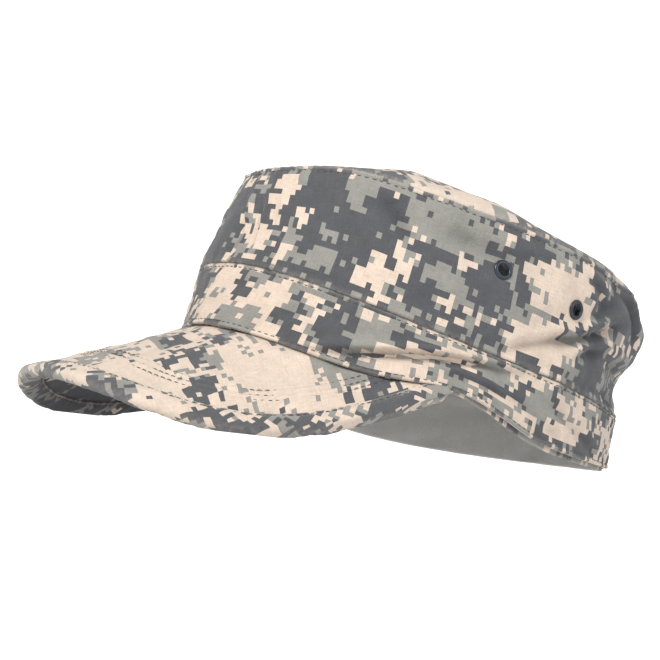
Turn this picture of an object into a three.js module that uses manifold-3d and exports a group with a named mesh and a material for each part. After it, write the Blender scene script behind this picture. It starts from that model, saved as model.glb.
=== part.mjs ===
// A soft military cap with a drooping peak, resting on its peak and the rear of its rim.
// Millimetres. The cap is drawn as worn, with its rim oval centred on the origin, the peak
// towards -Y, the wearer's left towards +X and +Z up, and is then leaned back until it rests.

import * as THREE from "three";
import { mergeVertices } from "three/addons/utils/BufferGeometryUtils.js";
import Module from "manifold-3d";

const wasm = await Module();
wasm.setup();

// Head opening and walls
const RIM_LENGTH = 210;
const RIM_WIDTH = 168;
const BAND_HEIGHT = 28;
const CROWN_HEIGHT = 46.5;
const DOME_HEIGHT = 15;
const CROWN_LENGTH = 201;
const CROWN_WIDTH = 155;

// Cloth and clearances
const BAND_CLOTH = 1.8;
const CROWN_CLOTH = 1.6;
const INNER_BAND_CLOTH = 1.5;
const INNER_BAND_LIP = 2;
const CLEARANCE = 0.3;

// Arch of the rim beside the head, and the lift where the peak ends
const SIDE_ARCH = 9.8;
const PEAK_END_LIFT = 8.5;

// Peak
const PEAK_LENGTH = 77.5;
const PEAK_THICKNESS = 3;
const PEAK_DROOP_FRONT = 31.5;
const PEAK_DROOP_SIDE = 44.5;
const PEAK_HALF_ANGLE = 77;
const PEAK_FLARE = 0.33;
const PEAK_END_LENGTH = 6;
const BINDING_WIDTH = 9.5;
const BINDING_CLOTH = 1.2;

// Eyelets
const EYELET_HOLE = 5;
const EYELET_DIAMETER = 8.6;
const EYELET_BARREL_WALL = 0.5;
const EYELET_ROLL = 0.9;
const EYELET_CREST = 0.15;
const EYELET_SEAT = 0.45;

// Depth that the longest fold, dent or swelling of the cloth has
const FOLD_DEPTH = 6;

// Cloth flattened where the cap rests, and the search for its lean: steepest, in degrees, and halvings
const REST_FLATTENING = 0.5;
const STEEPEST_LEAN = 40;
const LEAN_HALVINGS = 40;

// Facets
const PANEL_STEPS = 30;
const PANEL_ROWS = 9;
const BAND_ROWS = 4;
const INNER_BAND_ROWS_ABOVE_SEAM = 1;
const TOP_ALLOWANCE_ROWS = 1;
const DOME_ROWS = 5;
const PEAK_STEPS = 36;
const PEAK_ROWS = 3;
const PEAK_EDGE_STEPS = 4;
const EYELET_STEPS = 14;
const MERGE_DISTANCE = 1e-4;

const CLOTH_COLOUR = 0x9a958c;
const PEAK_COLOUR = 0xb9a998;
const INNER_COLOUR = 0x55565a;
const METAL_COLOUR = 0x23272f;

const RAD = Math.PI / 180;
const HALF_LENGTH = RIM_LENGTH / 2;
const HALF_WIDTH = RIM_WIDTH / 2;

// The three ovals that the walls run through. reach_front, reach_rear and reach_side are shares
// of the oval's own half length and half width; drop_* are shares of SIDE_ARCH, downwards.
const OVALS = {
  rim: {
    length: RIM_LENGTH, width: RIM_WIDTH, height: 0,
    reach_front: 1, reach_rear: 1, reach_side: 1, drop_front: 0, drop_side: 1, drop_rear: 0,
  },
  seam: {
    length: RIM_LENGTH, width: RIM_WIDTH, height: BAND_HEIGHT,
    reach_front: 0.994, reach_rear: 0.982, reach_side: 0.98, drop_front: 0, drop_side: 0.94, drop_rear: 0.85,
  },
  top: {
    length: CROWN_LENGTH, width: CROWN_WIDTH, height: BAND_HEIGHT + CROWN_HEIGHT,
    reach_front: 0.96, reach_rear: 1, reach_side: 0.99, drop_front: 0.15, drop_side: -0.07, drop_rear: 0.52,
  },
};

// Outward swelling of the side walls between the band seam and the top seam.
// height is the share of the way up, the others are shares of FOLD_DEPTH.
const WALL_SWELL = [
  { height: 0, front: 0, side: 0, rear: 0 },
  { height: 0.12, front: 0.12, side: 0.2, rear: -0.25 },
  { height: 0.3, front: 0.05, side: 0.25, rear: -0.55 },
  { height: 0.6, front: 0.1, side: 0.2, rear: 0.1 },
  { height: 0.82, front: 0.15, side: 0.2, rear: 0.55 },
  { height: 1, front: 0, side: 0, rear: 0 },
];

// Folds and dents of the walls. angle and half_angle are degrees from the centre front towards
// the wearer's left; level runs 0 to 1 over the band and 1 to 2 over the crown wall; rise is the
// change of level along the fold; depth is a share of FOLD_DEPTH, inwards.
const FOLDS = [
  { name: "band crease", angle: 66, half_angle: 20, level: 0.38, half_level: 0.16, rise: 0.62, depth: 0.3 },
  { name: "wall hollow left", angle: 62, half_angle: 22, level: 1.74, half_level: 0.13, rise: -0.1, depth: 0.4 },
  { name: "front tuck", angle: 5, half_angle: 5, level: 1.3, half_level: 0.3, rise: 0, depth: 0.35 },
  { name: "seam tuck left", angle: 92, half_angle: 13, level: 1.24, half_level: 0.14, rise: 0.5, depth: 0.35 },
  { name: "upper tuck left", angle: 117, half_angle: 9, level: 1.76, half_level: 0.12, rise: 0.5, depth: 0.4 },
  { name: "rear waist left", angle: 136, half_angle: 17, level: 1.2, half_level: 0.17, rise: 0.2, depth: 0.7 },
  { name: "rear puff left", angle: 146, half_angle: 20, level: 1.68, half_level: 0.2, rise: 0, depth: -0.45 },
  { name: "rear tuck", angle: 178, half_angle: 12, level: 1.45, half_level: 0.2, rise: 0.3, depth: 0.4 },
  { name: "rear waist right", angle: 222, half_angle: 18, level: 1.22, half_level: 0.18, rise: -0.2, depth: 0.55 },
  { name: "rear puff right", angle: 214, half_angle: 18, level: 1.7, half_level: 0.18, rise: 0, depth: -0.35 },
  { name: "seam tuck right", angle: 266, half_angle: 14, level: 1.22, half_level: 0.14, rise: -0.4, depth: 0.35 },
  { name: "wall hollow right", angle: 300, half_angle: 20, level: 1.72, half_level: 0.15, rise: 0.1, depth: 0.4 },
];

// Shape of the top panel: the first power flattens its middle, the second rounds its edge.
const DOME_FLATNESS = 2.6;
const DOME_EDGE_ROUND = 0.62;

// Outline of the peak: how square its front is, how wide in degrees the rim's lift at each of its
// ends is, and how far out the binding starts at least, as a share of the peak's length there.
const PEAK_SQUARENESS = 4.2;
const PEAK_END_WIDTH = 17;
const BINDING_START_SHARE = 0.3;

const EYELETS = [
  { name: "eyelet_left_front", angle: 80, level: 1.63 },
  { name: "eyelet_left_rear", angle: 104, level: 1.58 },
  { name: "eyelet_right_front", angle: -80, level: 1.63 },
  { name: "eyelet_right_rear", angle: -104, level: 1.58 },
];

const vec = (x, y, z) => new THREE.Vector3(x, y, z);
const lerp = THREE.MathUtils.lerp;

// Weights of front, side and rear at an angle from the centre front.
function blend(angle, front, side, rear) {
  const c = Math.cos(angle);
  const end = c > 0 ? front : rear;
  return side + (end - side) * c * c;
}

// Lift of the rim where each end of the peak is sewn in.
function peakEndLift(angle) {
  const away = (Math.abs(wrapAngle(angle)) - PEAK_HALF_ANGLE * RAD) / (PEAK_END_WIDTH * RAD);
  return PEAK_END_LIFT * Math.exp(-away * away);
}

function wrapAngle(angle) {
  return Math.atan2(Math.sin(angle), Math.cos(angle));
}

function ovalPoint(oval, angle) {
  const front = Math.cos(angle) > 0;
  const reach = (oval.length / 2) * (front ? oval.reach_front : oval.reach_rear);
  const side = (oval.width / 2) * oval.reach_side;
  const drop = SIDE_ARCH * blend(angle, oval.drop_front, oval.drop_side, oval.drop_rear);
  return vec(side * Math.sin(angle), -reach * Math.cos(angle), oval.height - drop);
}

// Smooth step between two rows of WALL_SWELL.
function wallSwell(angle, share) {
  const upper = WALL_SWELL.findIndex((row) => row.height >= share);
  const b = WALL_SWELL[Math.max(upper, 1)];
  const a = WALL_SWELL[Math.max(upper, 1) - 1];
  const t = THREE.MathUtils.smoothstep(share, a.height, b.height);
  const low = blend(angle, a.front, a.side, a.rear);
  const high = blend(angle, b.front, b.side, b.rear);
  return FOLD_DEPTH * lerp(low, high, t);
}

function foldDepth(angle, level) {
  let depth = 0;
  for (const fold of FOLDS) {
    const along = wrapAngle(angle - fold.angle * RAD) / (fold.half_angle * RAD);
    const across = (level - fold.level - fold.rise * along * 0.5) / fold.half_level;
    depth += FOLD_DEPTH * fold.depth * Math.exp(-along * along - across * across);
  }
  return depth;
}

// Horizontal outward direction of the walls.
function wallOut(angle) {
  return vec(Math.sin(angle) / HALF_WIDTH, -Math.cos(angle) / HALF_LENGTH, 0).normalize();
}

// A point of the walls: level 0 is the rim, 1 the band seam and 2 the top seam; depth is measured
// inwards from the outer face, and levels below 0 hang under the rim.
function wallPoint(angle, level, depth) {
  const rim = ovalPoint(OVALS.rim, angle);
  const seam = ovalPoint(OVALS.seam, angle);
  const top = ovalPoint(OVALS.top, angle);
  rim.z += peakEndLift(angle);
  const onBand = level <= 1;
  const point = onBand ? rim.lerp(seam, level) : seam.lerp(top, level - 1);
  const swell = onBand ? 0 : wallSwell(angle, Math.min(level - 1, 1));
  return point.addScaledVector(wallOut(angle), swell - foldDepth(angle, level) - depth);
}

// The level that lies a height above or below another level, at one angle.
function levelOffset(angle, level, height) {
  const step = level < 1 || (level === 1 && height < 0) ? [0, 1] : [1, 2];
  const low = wallPoint(angle, step[0], 0).z;
  const high = wallPoint(angle, step[1], 0).z;
  return level + height / (high - low);
}

// A closed solid through rings of points, joined round or closed at both ends.
// Each ring has its first points on its outer side and the rest, turned round, on its inner side.
// Both sides are split along the same diagonals, so that nested walls stay parallel.
function loft(rings, round, outerPoints = rings[0].length / 2) {
  const count = rings[0].length;
  const index = [];
  const quad = (a, b, c, d) => index.push(a, b, c, a, c, d);
  const otherQuad = (a, b, c, d) => index.push(a, b, d, b, c, d);
  const spans = round ? rings.length : rings.length - 1;
  for (let i = 0; i < spans; i += 1) {
    const here = i * count;
    const next = ((i + 1) % rings.length) * count;
    for (let k = 0; k < count; k += 1) {
      const l = (k + 1) % count;
      const split = k < outerPoints ? quad : otherQuad;
      split(here + k, next + k, next + l, here + l);
    }
  }
  if (!round) {
    const last = (rings.length - 1) * count;
    for (let k = 0; k + 1 < count / 2; k += 1) {
      const l = count - 1 - k;
      quad(k, k + 1, l - 1, l);
      quad(last + l, last + l - 1, last + k + 1, last + k);
    }
  }
  const flat = rings.flat().flatMap((p) => [p.x, p.y, p.z]);
  const geometry = new THREE.BufferGeometry();
  geometry.setAttribute("position", new THREE.Float32BufferAttribute(flat, 3));
  geometry.setIndex(index);
  return facingOut(withoutSlivers(mergeVertices(geometry, MERGE_DISTANCE)));
}

// Drops the triangles that merging has closed to a line.
function withoutSlivers(geometry) {
  const old = geometry.index.array;
  const kept = [];
  for (let i = 0; i < old.length; i += 3) {
    const [a, b, c] = [old[i], old[i + 1], old[i + 2]];
    if (a !== b && b !== c && c !== a) kept.push(a, b, c);
  }
  geometry.setIndex(kept);
  return geometry;
}

function signedVolume(geometry) {
  const position = geometry.attributes.position;
  const index = geometry.index.array;
  const corner = [vec(0, 0, 0), vec(0, 0, 0), vec(0, 0, 0)];
  let volume = 0;
  for (let i = 0; i < index.length; i += 3) {
    corner.forEach((p, k) => p.fromBufferAttribute(position, index[i + k]));
    volume += corner[0].dot(corner[1].clone().cross(corner[2])) / 6;
  }
  return volume;
}

function facingOut(geometry) {
  if (signedVolume(geometry) < 0) {
    const index = geometry.index.array;
    for (let i = 0; i < index.length; i += 3) {
      [index[i + 1], index[i + 2]] = [index[i + 2], index[i + 1]];
    }
  }
  return geometry;
}

function toSolid(geometry) {
  const clean = geometry.clone();
  clean.deleteAttribute("normal");
  clean.deleteAttribute("uv");
  const merged = mergeVertices(clean, MERGE_DISTANCE);
  return new wasm.Manifold(new wasm.Mesh({
    numProp: 3,
    vertProperties: new Float32Array(merged.attributes.position.array),
    triVerts: new Uint32Array(merged.index.array),
  }));
}

function toGeometry(solid) {
  const mesh = solid.getMesh();
  const geometry = new THREE.BufferGeometry();
  geometry.setAttribute("position", new THREE.Float32BufferAttribute(mesh.vertProperties, 3));
  geometry.setIndex(Array.from(mesh.triVerts));
  return geometry;
}

// Evenly spaced values from start to end.
function steps(start, end, count) {
  return Array.from({ length: count + 1 }, (_, i) => lerp(start, end, i / count));
}

function roundAngles() {
  return steps(0, 2 * Math.PI, 2 * PANEL_STEPS).slice(0, -1);
}

// A strip of wall between two heights, open at the top and bottom.
function wallRing(angle, levels, outside, thickness) {
  const outer = levels.map((level) => wallPoint(angle, level, outside));
  const inner = levels.map((level) => wallPoint(angle, level, outside + thickness));
  return [...outer, ...inner.reverse()];
}

// Levels of the rows of the band, and of the crown wall above it.
function bandLevels(angle) {
  return steps(0, levelOffset(angle, 1, -CLEARANCE / 2), BAND_ROWS);
}

function crownLevels(angle) {
  const low = levelOffset(angle, 1, CLEARANCE / 2);
  const high = levelOffset(angle, 2, -CLEARANCE / 2);
  return steps(low, high, PANEL_ROWS);
}

function outerBand() {
  const rings = roundAngles().map((angle) => wallRing(angle, bandLevels(angle), 0, BAND_CLOTH));
  return loft(rings, true);
}

// The inner band hangs below the outer one and backs the seam above it.
function innerBand() {
  const depth = Math.max(BAND_CLOTH, CROWN_CLOTH) + CLEARANCE;
  const rings = roundAngles().map((angle) => {
    const lip = levelOffset(angle, 0, -INNER_BAND_LIP);
    const above = crownLevels(angle).slice(0, INNER_BAND_ROWS_ABOVE_SEAM + 1);
    return wallRing(angle, [lip, ...bandLevels(angle), ...above], depth, INNER_BAND_CLOTH);
  });
  return loft(rings, true);
}

// One side wall from the centre front seam to the centre back seam, on the side given by sign.
function crownSide(sign) {
  const seamGap = CLEARANCE / 2 / HALF_WIDTH;
  const rings = steps(0, Math.PI, PANEL_STEPS).map((turn) => {
    const angle = sign * THREE.MathUtils.clamp(turn, seamGap, Math.PI - seamGap);
    return wallRing(angle, crownLevels(angle), 0, CROWN_CLOTH);
  });
  let solid = toSolid(loft(rings, false));
  const barrel = EYELET_HOLE / 2 + EYELET_BARREL_WALL + CLEARANCE;
  for (const eyelet of EYELETS.filter((row) => Math.sign(row.angle) === sign)) {
    const drill = new THREE.CylinderGeometry(barrel, barrel, EYELET_DIAMETER, EYELET_STEPS);
    drill.rotateX(Math.PI / 2);
    drill.applyMatrix4(eyeletPlace(eyelet));
    solid = solid.subtract(toSolid(drill));
  }
  return toGeometry(solid);
}

// The top panel: a dome over the top seam, with its allowance turned down inside the walls.
function crownTop() {
  const inset = CROWN_CLOTH + CLEARANCE;
  const centre = ovalPoint(OVALS.top, Math.PI / 2).setX(0);
  const shares = steps(0, 90, DOME_ROWS).map((deg) => 1 - Math.cos(deg * RAD));
  const rings = roundAngles().map((angle) => {
    const allowance = crownLevels(angle).slice(-TOP_ALLOWANCE_ROWS - 1);
    const edge = levelOffset(angle, 2, CLEARANCE / 2);
    const rim = wallPoint(angle, edge, 0);
    const outer = shares.map((inward) => domePoint(rim, centre, 1 - inward, 0));
    const inner = shares.map((inward) => domePoint(rim, centre, 1 - inward, CROWN_CLOTH));
    inner[0] = wallPoint(angle, edge, inset + CROWN_CLOTH);
    return [
      ...allowance.map((level) => wallPoint(angle, level, inset)),
      wallPoint(angle, edge, inset),
      ...outer,
      ...inner.reverse(),
      ...allowance.reverse().map((level) => wallPoint(angle, level, inset + CROWN_CLOTH)),
    ];
  });
  return loft(rings, true);
}

// A point of the dome: share 1 is its edge and 0 its middle; depth is measured downwards.
function domePoint(rim, centre, share, depth) {
  const rise = DOME_HEIGHT * Math.pow(1 - Math.pow(share, DOME_FLATNESS), DOME_EDGE_ROUND);
  const point = centre.clone().lerp(rim, share);
  point.z += rise - depth;
  return point;
}

// Length of the peak along its slope at an angle from the centre front.
function peakReach(angle) {
  const share = Math.min(Math.abs(angle) / (PEAK_HALF_ANGLE * RAD), 1);
  return PEAK_LENGTH * (1 - Math.pow(share, PEAK_SQUARENESS));
}

// Direction in which the peak runs out from the rim.
function peakSlope(angle) {
  const s = Math.sin(angle);
  const droop = lerp(PEAK_DROOP_FRONT, PEAK_DROOP_SIDE, s * s) * RAD;
  return vec(PEAK_FLARE * s, -Math.cos(droop), -Math.sin(droop)).normalize();
}

// Upper face of the peak, a length out from the rim along the slope.
function peakSurface(angle, length) {
  const start = wallPoint(angle, 0, BAND_CLOTH - CLEARANCE);
  start.z -= CLEARANCE;
  return start.addScaledVector(peakSlope(angle), length);
}

// Downward normal of the peak.
function peakDown(angle, length) {
  const d = 0.01;
  const across = peakSurface(angle + d, length).sub(peakSurface(angle - d, length));
  const normal = across.cross(peakSlope(angle)).normalize();
  return normal.z > 0 ? normal.negate() : normal;
}

// Angle at which the peak is still PEAK_END_LENGTH long.
function peakEndAngle() {
  return PEAK_HALF_ANGLE * RAD * Math.pow(1 - PEAK_END_LENGTH / PEAK_LENGTH, 1 / PEAK_SQUARENESS);
}

// A point of the peak's section: offset is measured across it, downwards from its middle.
function peakPoint(angle, length, offset) {
  const down = peakDown(angle, length);
  return peakSurface(angle, length).addScaledVector(down, PEAK_THICKNESS / 2 + offset);
}

// Path over the rounded outer edge of the peak, from its upper face to its lower one, a radius out
// from the plate's middle. The shares say how far out the points of its straight stretches lie.
function edgePath(angle, shares, radius) {
  const turn = peakReach(angle) - BINDING_CLOTH - CLEARANCE - PEAK_THICKNESS / 2;
  const bend = steps(-90, 90, PEAK_EDGE_STEPS).map((deg) => (
    peakPoint(angle, turn + radius * Math.cos(deg * RAD), radius * Math.sin(deg * RAD))
  ));
  const upper = shares.map((share) => peakPoint(angle, share * turn, -radius));
  const lower = shares.map((share) => peakPoint(angle, share * turn, radius));
  return [...upper, ...bend, ...lower.reverse()];
}

function peakAngles() {
  const end = peakEndAngle();
  return steps(-end, end, PEAK_STEPS);
}

// Room that the two bands take, with the clearance round them and what lies inside the head opening.
function bandRoom() {
  const inside = PEAK_THICKNESS + INNER_BAND_CLOTH;
  const room = (low, depth, thickness) => toSolid(loft(roundAngles().map((angle) => (
    wallRing(angle, [levelOffset(angle, 0, low), ...bandLevels(angle)], depth, thickness)
  )), true));
  const outer = room(-CLEARANCE, -CLEARANCE, BAND_CLOTH + 2 * CLEARANCE);
  const inner = room(-INNER_BAND_LIP - PEAK_THICKNESS, BAND_CLOTH, INNER_BAND_CLOTH + inside);
  return outer.add(inner);
}

function clearOfBands(geometry) {
  return toGeometry(toSolid(geometry).subtract(bandRoom()));
}

function peak() {
  const shares = steps(0, 1, PEAK_ROWS).slice(0, -1);
  const rings = peakAngles().map((angle) => edgePath(angle, shares, PEAK_THICKNESS / 2));
  return clearOfBands(loft(rings, false, rings[0].length));
}

// How squarely the peak's slope meets its outer edge: 1 where it crosses it straight.
function edgeSquareness(angle) {
  const d = 0.01;
  const edge = (turn) => peakSurface(turn, peakReach(turn));
  const along = edge(angle + d).sub(edge(angle - d)).normalize();
  return along.cross(peakSlope(angle)).length();
}

// Binding folded over the edge of the peak, as wide all along when measured square to the edge.
function peakBinding() {
  const inside = PEAK_THICKNESS / 2 + CLEARANCE;
  const rings = peakAngles().map((angle) => {
    const width = BINDING_WIDTH / edgeSquareness(angle);
    const share = Math.max(1 - width / peakReach(angle), BINDING_START_SHARE);
    const outer = edgePath(angle, [share], inside + BINDING_CLOTH);
    const inner = edgePath(angle, [share], inside);
    return [...outer, ...inner.reverse()];
  });
  return clearOfBands(loft(rings, false));
}

// Place of an eyelet: its axis along the cloth's outward normal.
function eyeletPlace(eyelet) {
  const angle = eyelet.angle * RAD;
  const d = 0.02;
  const round = wallPoint(angle + d, eyelet.level, 0).sub(wallPoint(angle - d, eyelet.level, 0));
  const up = wallPoint(angle, eyelet.level + d, 0).sub(wallPoint(angle, eyelet.level - d, 0));
  const out = round.clone().cross(up).normalize();
  up.crossVectors(out, round).normalize();
  const side = up.clone().cross(out);
  const matrix = new THREE.Matrix4().makeBasis(side, up, out);
  return matrix.setPosition(wallPoint(angle, eyelet.level, CROWN_CLOTH / 2));
}

// Rolled outer ring, barrel through the cloth and inner washer, as one turned ring.
function eyelet(row) {
  const hole = EYELET_HOLE / 2;
  const barrel = hole + EYELET_BARREL_WALL;
  const flange = EYELET_DIAMETER / 2;
  const face = CROWN_CLOTH / 2 + EYELET_SEAT;
  const roll = face + EYELET_ROLL;
  const crest = [(hole + flange) / 2, roll + EYELET_CREST];
  const shoulder = [flange, (face + roll) / 2];
  const washer = [[barrel, -face], [flange, -face], [flange, -roll], [hole, -roll]];
  const ringFace = [[hole, roll], crest, shoulder, [flange, face], [barrel, face]];
  const profile = [...washer, ...ringFace, washer[0]].map(([radius, along]) => new THREE.Vector2(radius, along));
  const ring = new THREE.LatheGeometry(profile, EYELET_STEPS);
  ring.rotateX(Math.PI / 2);
  ring.applyMatrix4(eyeletPlace(row));
  ring.deleteAttribute("normal");
  ring.deleteAttribute("uv");
  return facingOut(withoutSlivers(mergeVertices(ring, MERGE_DISTANCE)));
}

function lowest(geometry, matrix) {
  const position = geometry.attributes.position;
  const point = vec(0, 0, 0);
  let low = Infinity;
  for (let i = 0; i < position.count; i += 1) {
    low = Math.min(low, point.fromBufferAttribute(position, i).applyMatrix4(matrix).z);
  }
  return low;
}

// Lean at which the peak and the rear of the rim are level, by halving the range.
function restingLean(front, rear) {
  let low = 0;
  let high = STEEPEST_LEAN * RAD;
  for (let i = 0; i < LEAN_HALVINGS; i += 1) {
    const middle = (low + high) / 2;
    const turn = new THREE.Matrix4().makeRotationX(-middle);
    if (lowest(front, turn) < lowest(rear, turn)) low = middle;
    else high = middle;
  }
  return (low + high) / 2;
}

// Cuts away what lies below the surface that the cap rests on.
function flattened(geometry, place) {
  const size = 4 * RIM_LENGTH;
  const below = new THREE.BoxGeometry(size, size, size);
  below.translate(0, 0, -size / 2);
  below.applyMatrix4(place.clone().invert());
  return toGeometry(toSolid(geometry).subtract(toSolid(below)));
}

function material(colour, roughness, metalness) {
  return new THREE.MeshStandardMaterial({ color: colour, roughness, metalness });
}

function piece(name, geometry, finish) {
  const mesh = new THREE.Mesh(geometry, finish);
  mesh.name = name;
  mesh.geometry.computeVertexNormals();
  return mesh;
}

const cloth = material(CLOTH_COLOUR, 0.95, 0);
const peakCloth = material(PEAK_COLOUR, 0.95, 0);
const innerCloth = material(INNER_COLOUR, 0.95, 0);
const metal = material(METAL_COLOUR, 0.4, 0.8);

const rim = innerBand();
const binding = peakBinding();
const lean = restingLean(binding, rim);
const turned = new THREE.Matrix4().makeRotationX(-lean);
const lift = -lowest(rim, turned) - REST_FLATTENING;
const resting = new THREE.Matrix4().makeTranslation(0, 0, lift).multiply(turned);

const cap = new THREE.Group();
cap.add(
  piece("outer_band", flattened(outerBand(), resting), cloth),
  piece("inner_band", flattened(rim, resting), innerCloth),
  piece("crown_side_left", crownSide(1), cloth),
  piece("crown_side_right", crownSide(-1), cloth),
  piece("crown_top", crownTop(), cloth),
  piece("peak", peak(), peakCloth),
  piece("peak_binding", flattened(binding, resting), peakCloth),
  ...EYELETS.map((row) => piece(row.name, eyelet(row), metal)),
);
cap.applyMatrix4(resting);
cap.updateMatrixWorld(true);

// The origin is under the middle of the cap's box, on the surface that it rests on.
const middle = new THREE.Box3().setFromObject(cap, true).getCenter(vec(0, 0, 0));
cap.position.x -= middle.x;
cap.position.y -= middle.y;

export default cap;
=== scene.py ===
"""A soft military cap in pixel camouflage cloth, resting on its peak and the rear of its rim.

Lengths are millimetres in the worn frame of the drawing: the rim oval is centred on the origin, the
peak points to -Y, the wearer's left is +X and +Z is up. An angle runs round from the centre front
towards the wearer's left. Meshes are turned onto the frame, in metres, as they are made.
"""

import math

import bmesh
import bpy
import numpy as np
from bpy.props import FloatProperty, FloatVectorProperty, PointerProperty
from bpy.types import Operator, Panel, PropertyGroup
from mathutils import Matrix, Vector


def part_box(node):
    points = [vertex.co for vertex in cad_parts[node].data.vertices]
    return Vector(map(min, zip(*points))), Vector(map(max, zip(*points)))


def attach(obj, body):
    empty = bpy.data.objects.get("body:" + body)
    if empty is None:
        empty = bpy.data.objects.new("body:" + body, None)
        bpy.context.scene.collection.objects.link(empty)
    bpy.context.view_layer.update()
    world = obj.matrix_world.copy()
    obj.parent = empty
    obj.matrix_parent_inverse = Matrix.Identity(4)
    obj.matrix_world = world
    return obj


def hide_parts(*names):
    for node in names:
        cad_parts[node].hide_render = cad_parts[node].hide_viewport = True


bl_info = {
    "name": "Military Cap",
    "version": (1, 0, 0),
    "blender": (4, 5, 0),
    "location": "3D View > Sidebar > Cap",
    "description": "Dresses a packed military cap in pixel camouflage cloth",
    "category": "Mesh",
}

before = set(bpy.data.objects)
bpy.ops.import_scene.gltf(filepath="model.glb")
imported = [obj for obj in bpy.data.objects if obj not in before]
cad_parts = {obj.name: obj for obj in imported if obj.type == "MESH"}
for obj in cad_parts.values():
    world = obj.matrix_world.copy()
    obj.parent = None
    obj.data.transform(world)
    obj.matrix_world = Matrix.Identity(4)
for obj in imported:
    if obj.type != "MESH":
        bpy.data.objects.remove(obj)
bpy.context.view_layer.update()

MM = 0.001
RAD = math.pi / 180

# Sizes of the drawing
RIM_LENGTH = 210.0
RIM_WIDTH = 168.0
BAND_HEIGHT = 28.0
CROWN_HEIGHT = 46.5
DOME_HEIGHT = 15.0
CROWN_LENGTH = 201.0
CROWN_WIDTH = 155.0
BAND_CLOTH = 1.8
CROWN_CLOTH = 1.6
INNER_BAND_CLOTH = 1.5
INNER_BAND_LIP = 2.0
CLEARANCE = 0.3
SIDE_ARCH = 9.8
PEAK_END_LIFT = 8.5
PEAK_LENGTH = 77.5
PEAK_THICKNESS = 3.0
PEAK_DROOP_FRONT = 31.5
PEAK_DROOP_SIDE = 44.5
PEAK_HALF_ANGLE = 77.0
PEAK_FLARE = 0.33
PEAK_END_LENGTH = 6.0
PEAK_SQUARENESS = 4.2
PEAK_END_WIDTH = 17.0
BINDING_CLOTH = 1.2
EYELET_HOLE = 5.0
EYELET_DIAMETER = 8.6
FOLD_DEPTH = 6.0
DOME_FLATNESS = 2.6
DOME_EDGE_ROUND = 0.62

# The three ovals that the walls run through: reaches are shares of the half length and half
# width, drops are shares of SIDE_ARCH, downwards.
OVALS = {
    "rim": dict(length=RIM_LENGTH, width=RIM_WIDTH, height=0.0, reach_front=1.0, reach_rear=1.0,
                reach_side=1.0, drop_front=0.0, drop_side=1.0, drop_rear=0.0),
    "seam": dict(length=RIM_LENGTH, width=RIM_WIDTH, height=BAND_HEIGHT, reach_front=0.994, reach_rear=0.982,
                 reach_side=0.98, drop_front=0.0, drop_side=0.94, drop_rear=0.85),
    "top": dict(length=CROWN_LENGTH, width=CROWN_WIDTH, height=BAND_HEIGHT + CROWN_HEIGHT, reach_front=0.96,
                reach_rear=1.0, reach_side=0.99, drop_front=0.15, drop_side=-0.07, drop_rear=0.52),
}

# Swelling of the crown wall: height is a share of the wall, the others are shares of FOLD_DEPTH.
SWELL_COLUMNS = ("height", "front", "side", "rear")
WALL_SWELL = [
    (0.0, 0.0, 0.0, 0.0),
    (0.12, 0.12, 0.2, -0.25),
    (0.3, 0.05, 0.25, -0.55),
    (0.6, 0.1, 0.2, 0.1),
    (0.82, 0.15, 0.2, 0.55),
    (1.0, 0.0, 0.0, 0.0),
]

# Broad folds of the drawing. Levels run 0 to 1 over the band and 1 to 2 over the crown wall; rise is
# the change of level along the fold; depth is a share of FOLD_DEPTH, inwards.
FOLD_COLUMNS = ("angle", "half_angle", "level", "half_level", "rise", "depth")
FOLDS = {
    "band crease": (66, 20, 0.38, 0.16, 0.62, 0.3),
    "wall hollow left": (62, 22, 1.74, 0.13, -0.1, 0.4),
    "front tuck": (5, 5, 1.3, 0.3, 0, 0.35),
    "seam tuck left": (92, 13, 1.24, 0.14, 0.5, 0.35),
    "upper tuck left": (117, 9, 1.76, 0.12, 0.5, 0.4),
    "rear waist left": (136, 17, 1.2, 0.17, 0.2, 0.7),
    "rear puff left": (146, 20, 1.68, 0.2, 0, -0.45),
    "rear tuck": (178, 12, 1.45, 0.2, 0.3, 0.4),
    "rear waist right": (222, 18, 1.22, 0.18, -0.2, 0.55),
    "rear puff right": (214, 18, 1.7, 0.18, 0, -0.35),
    "seam tuck right": (266, 14, 1.22, 0.14, -0.4, 0.35),
    "wall hollow right": (300, 20, 1.72, 0.15, 0.1, 0.4),
}

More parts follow.
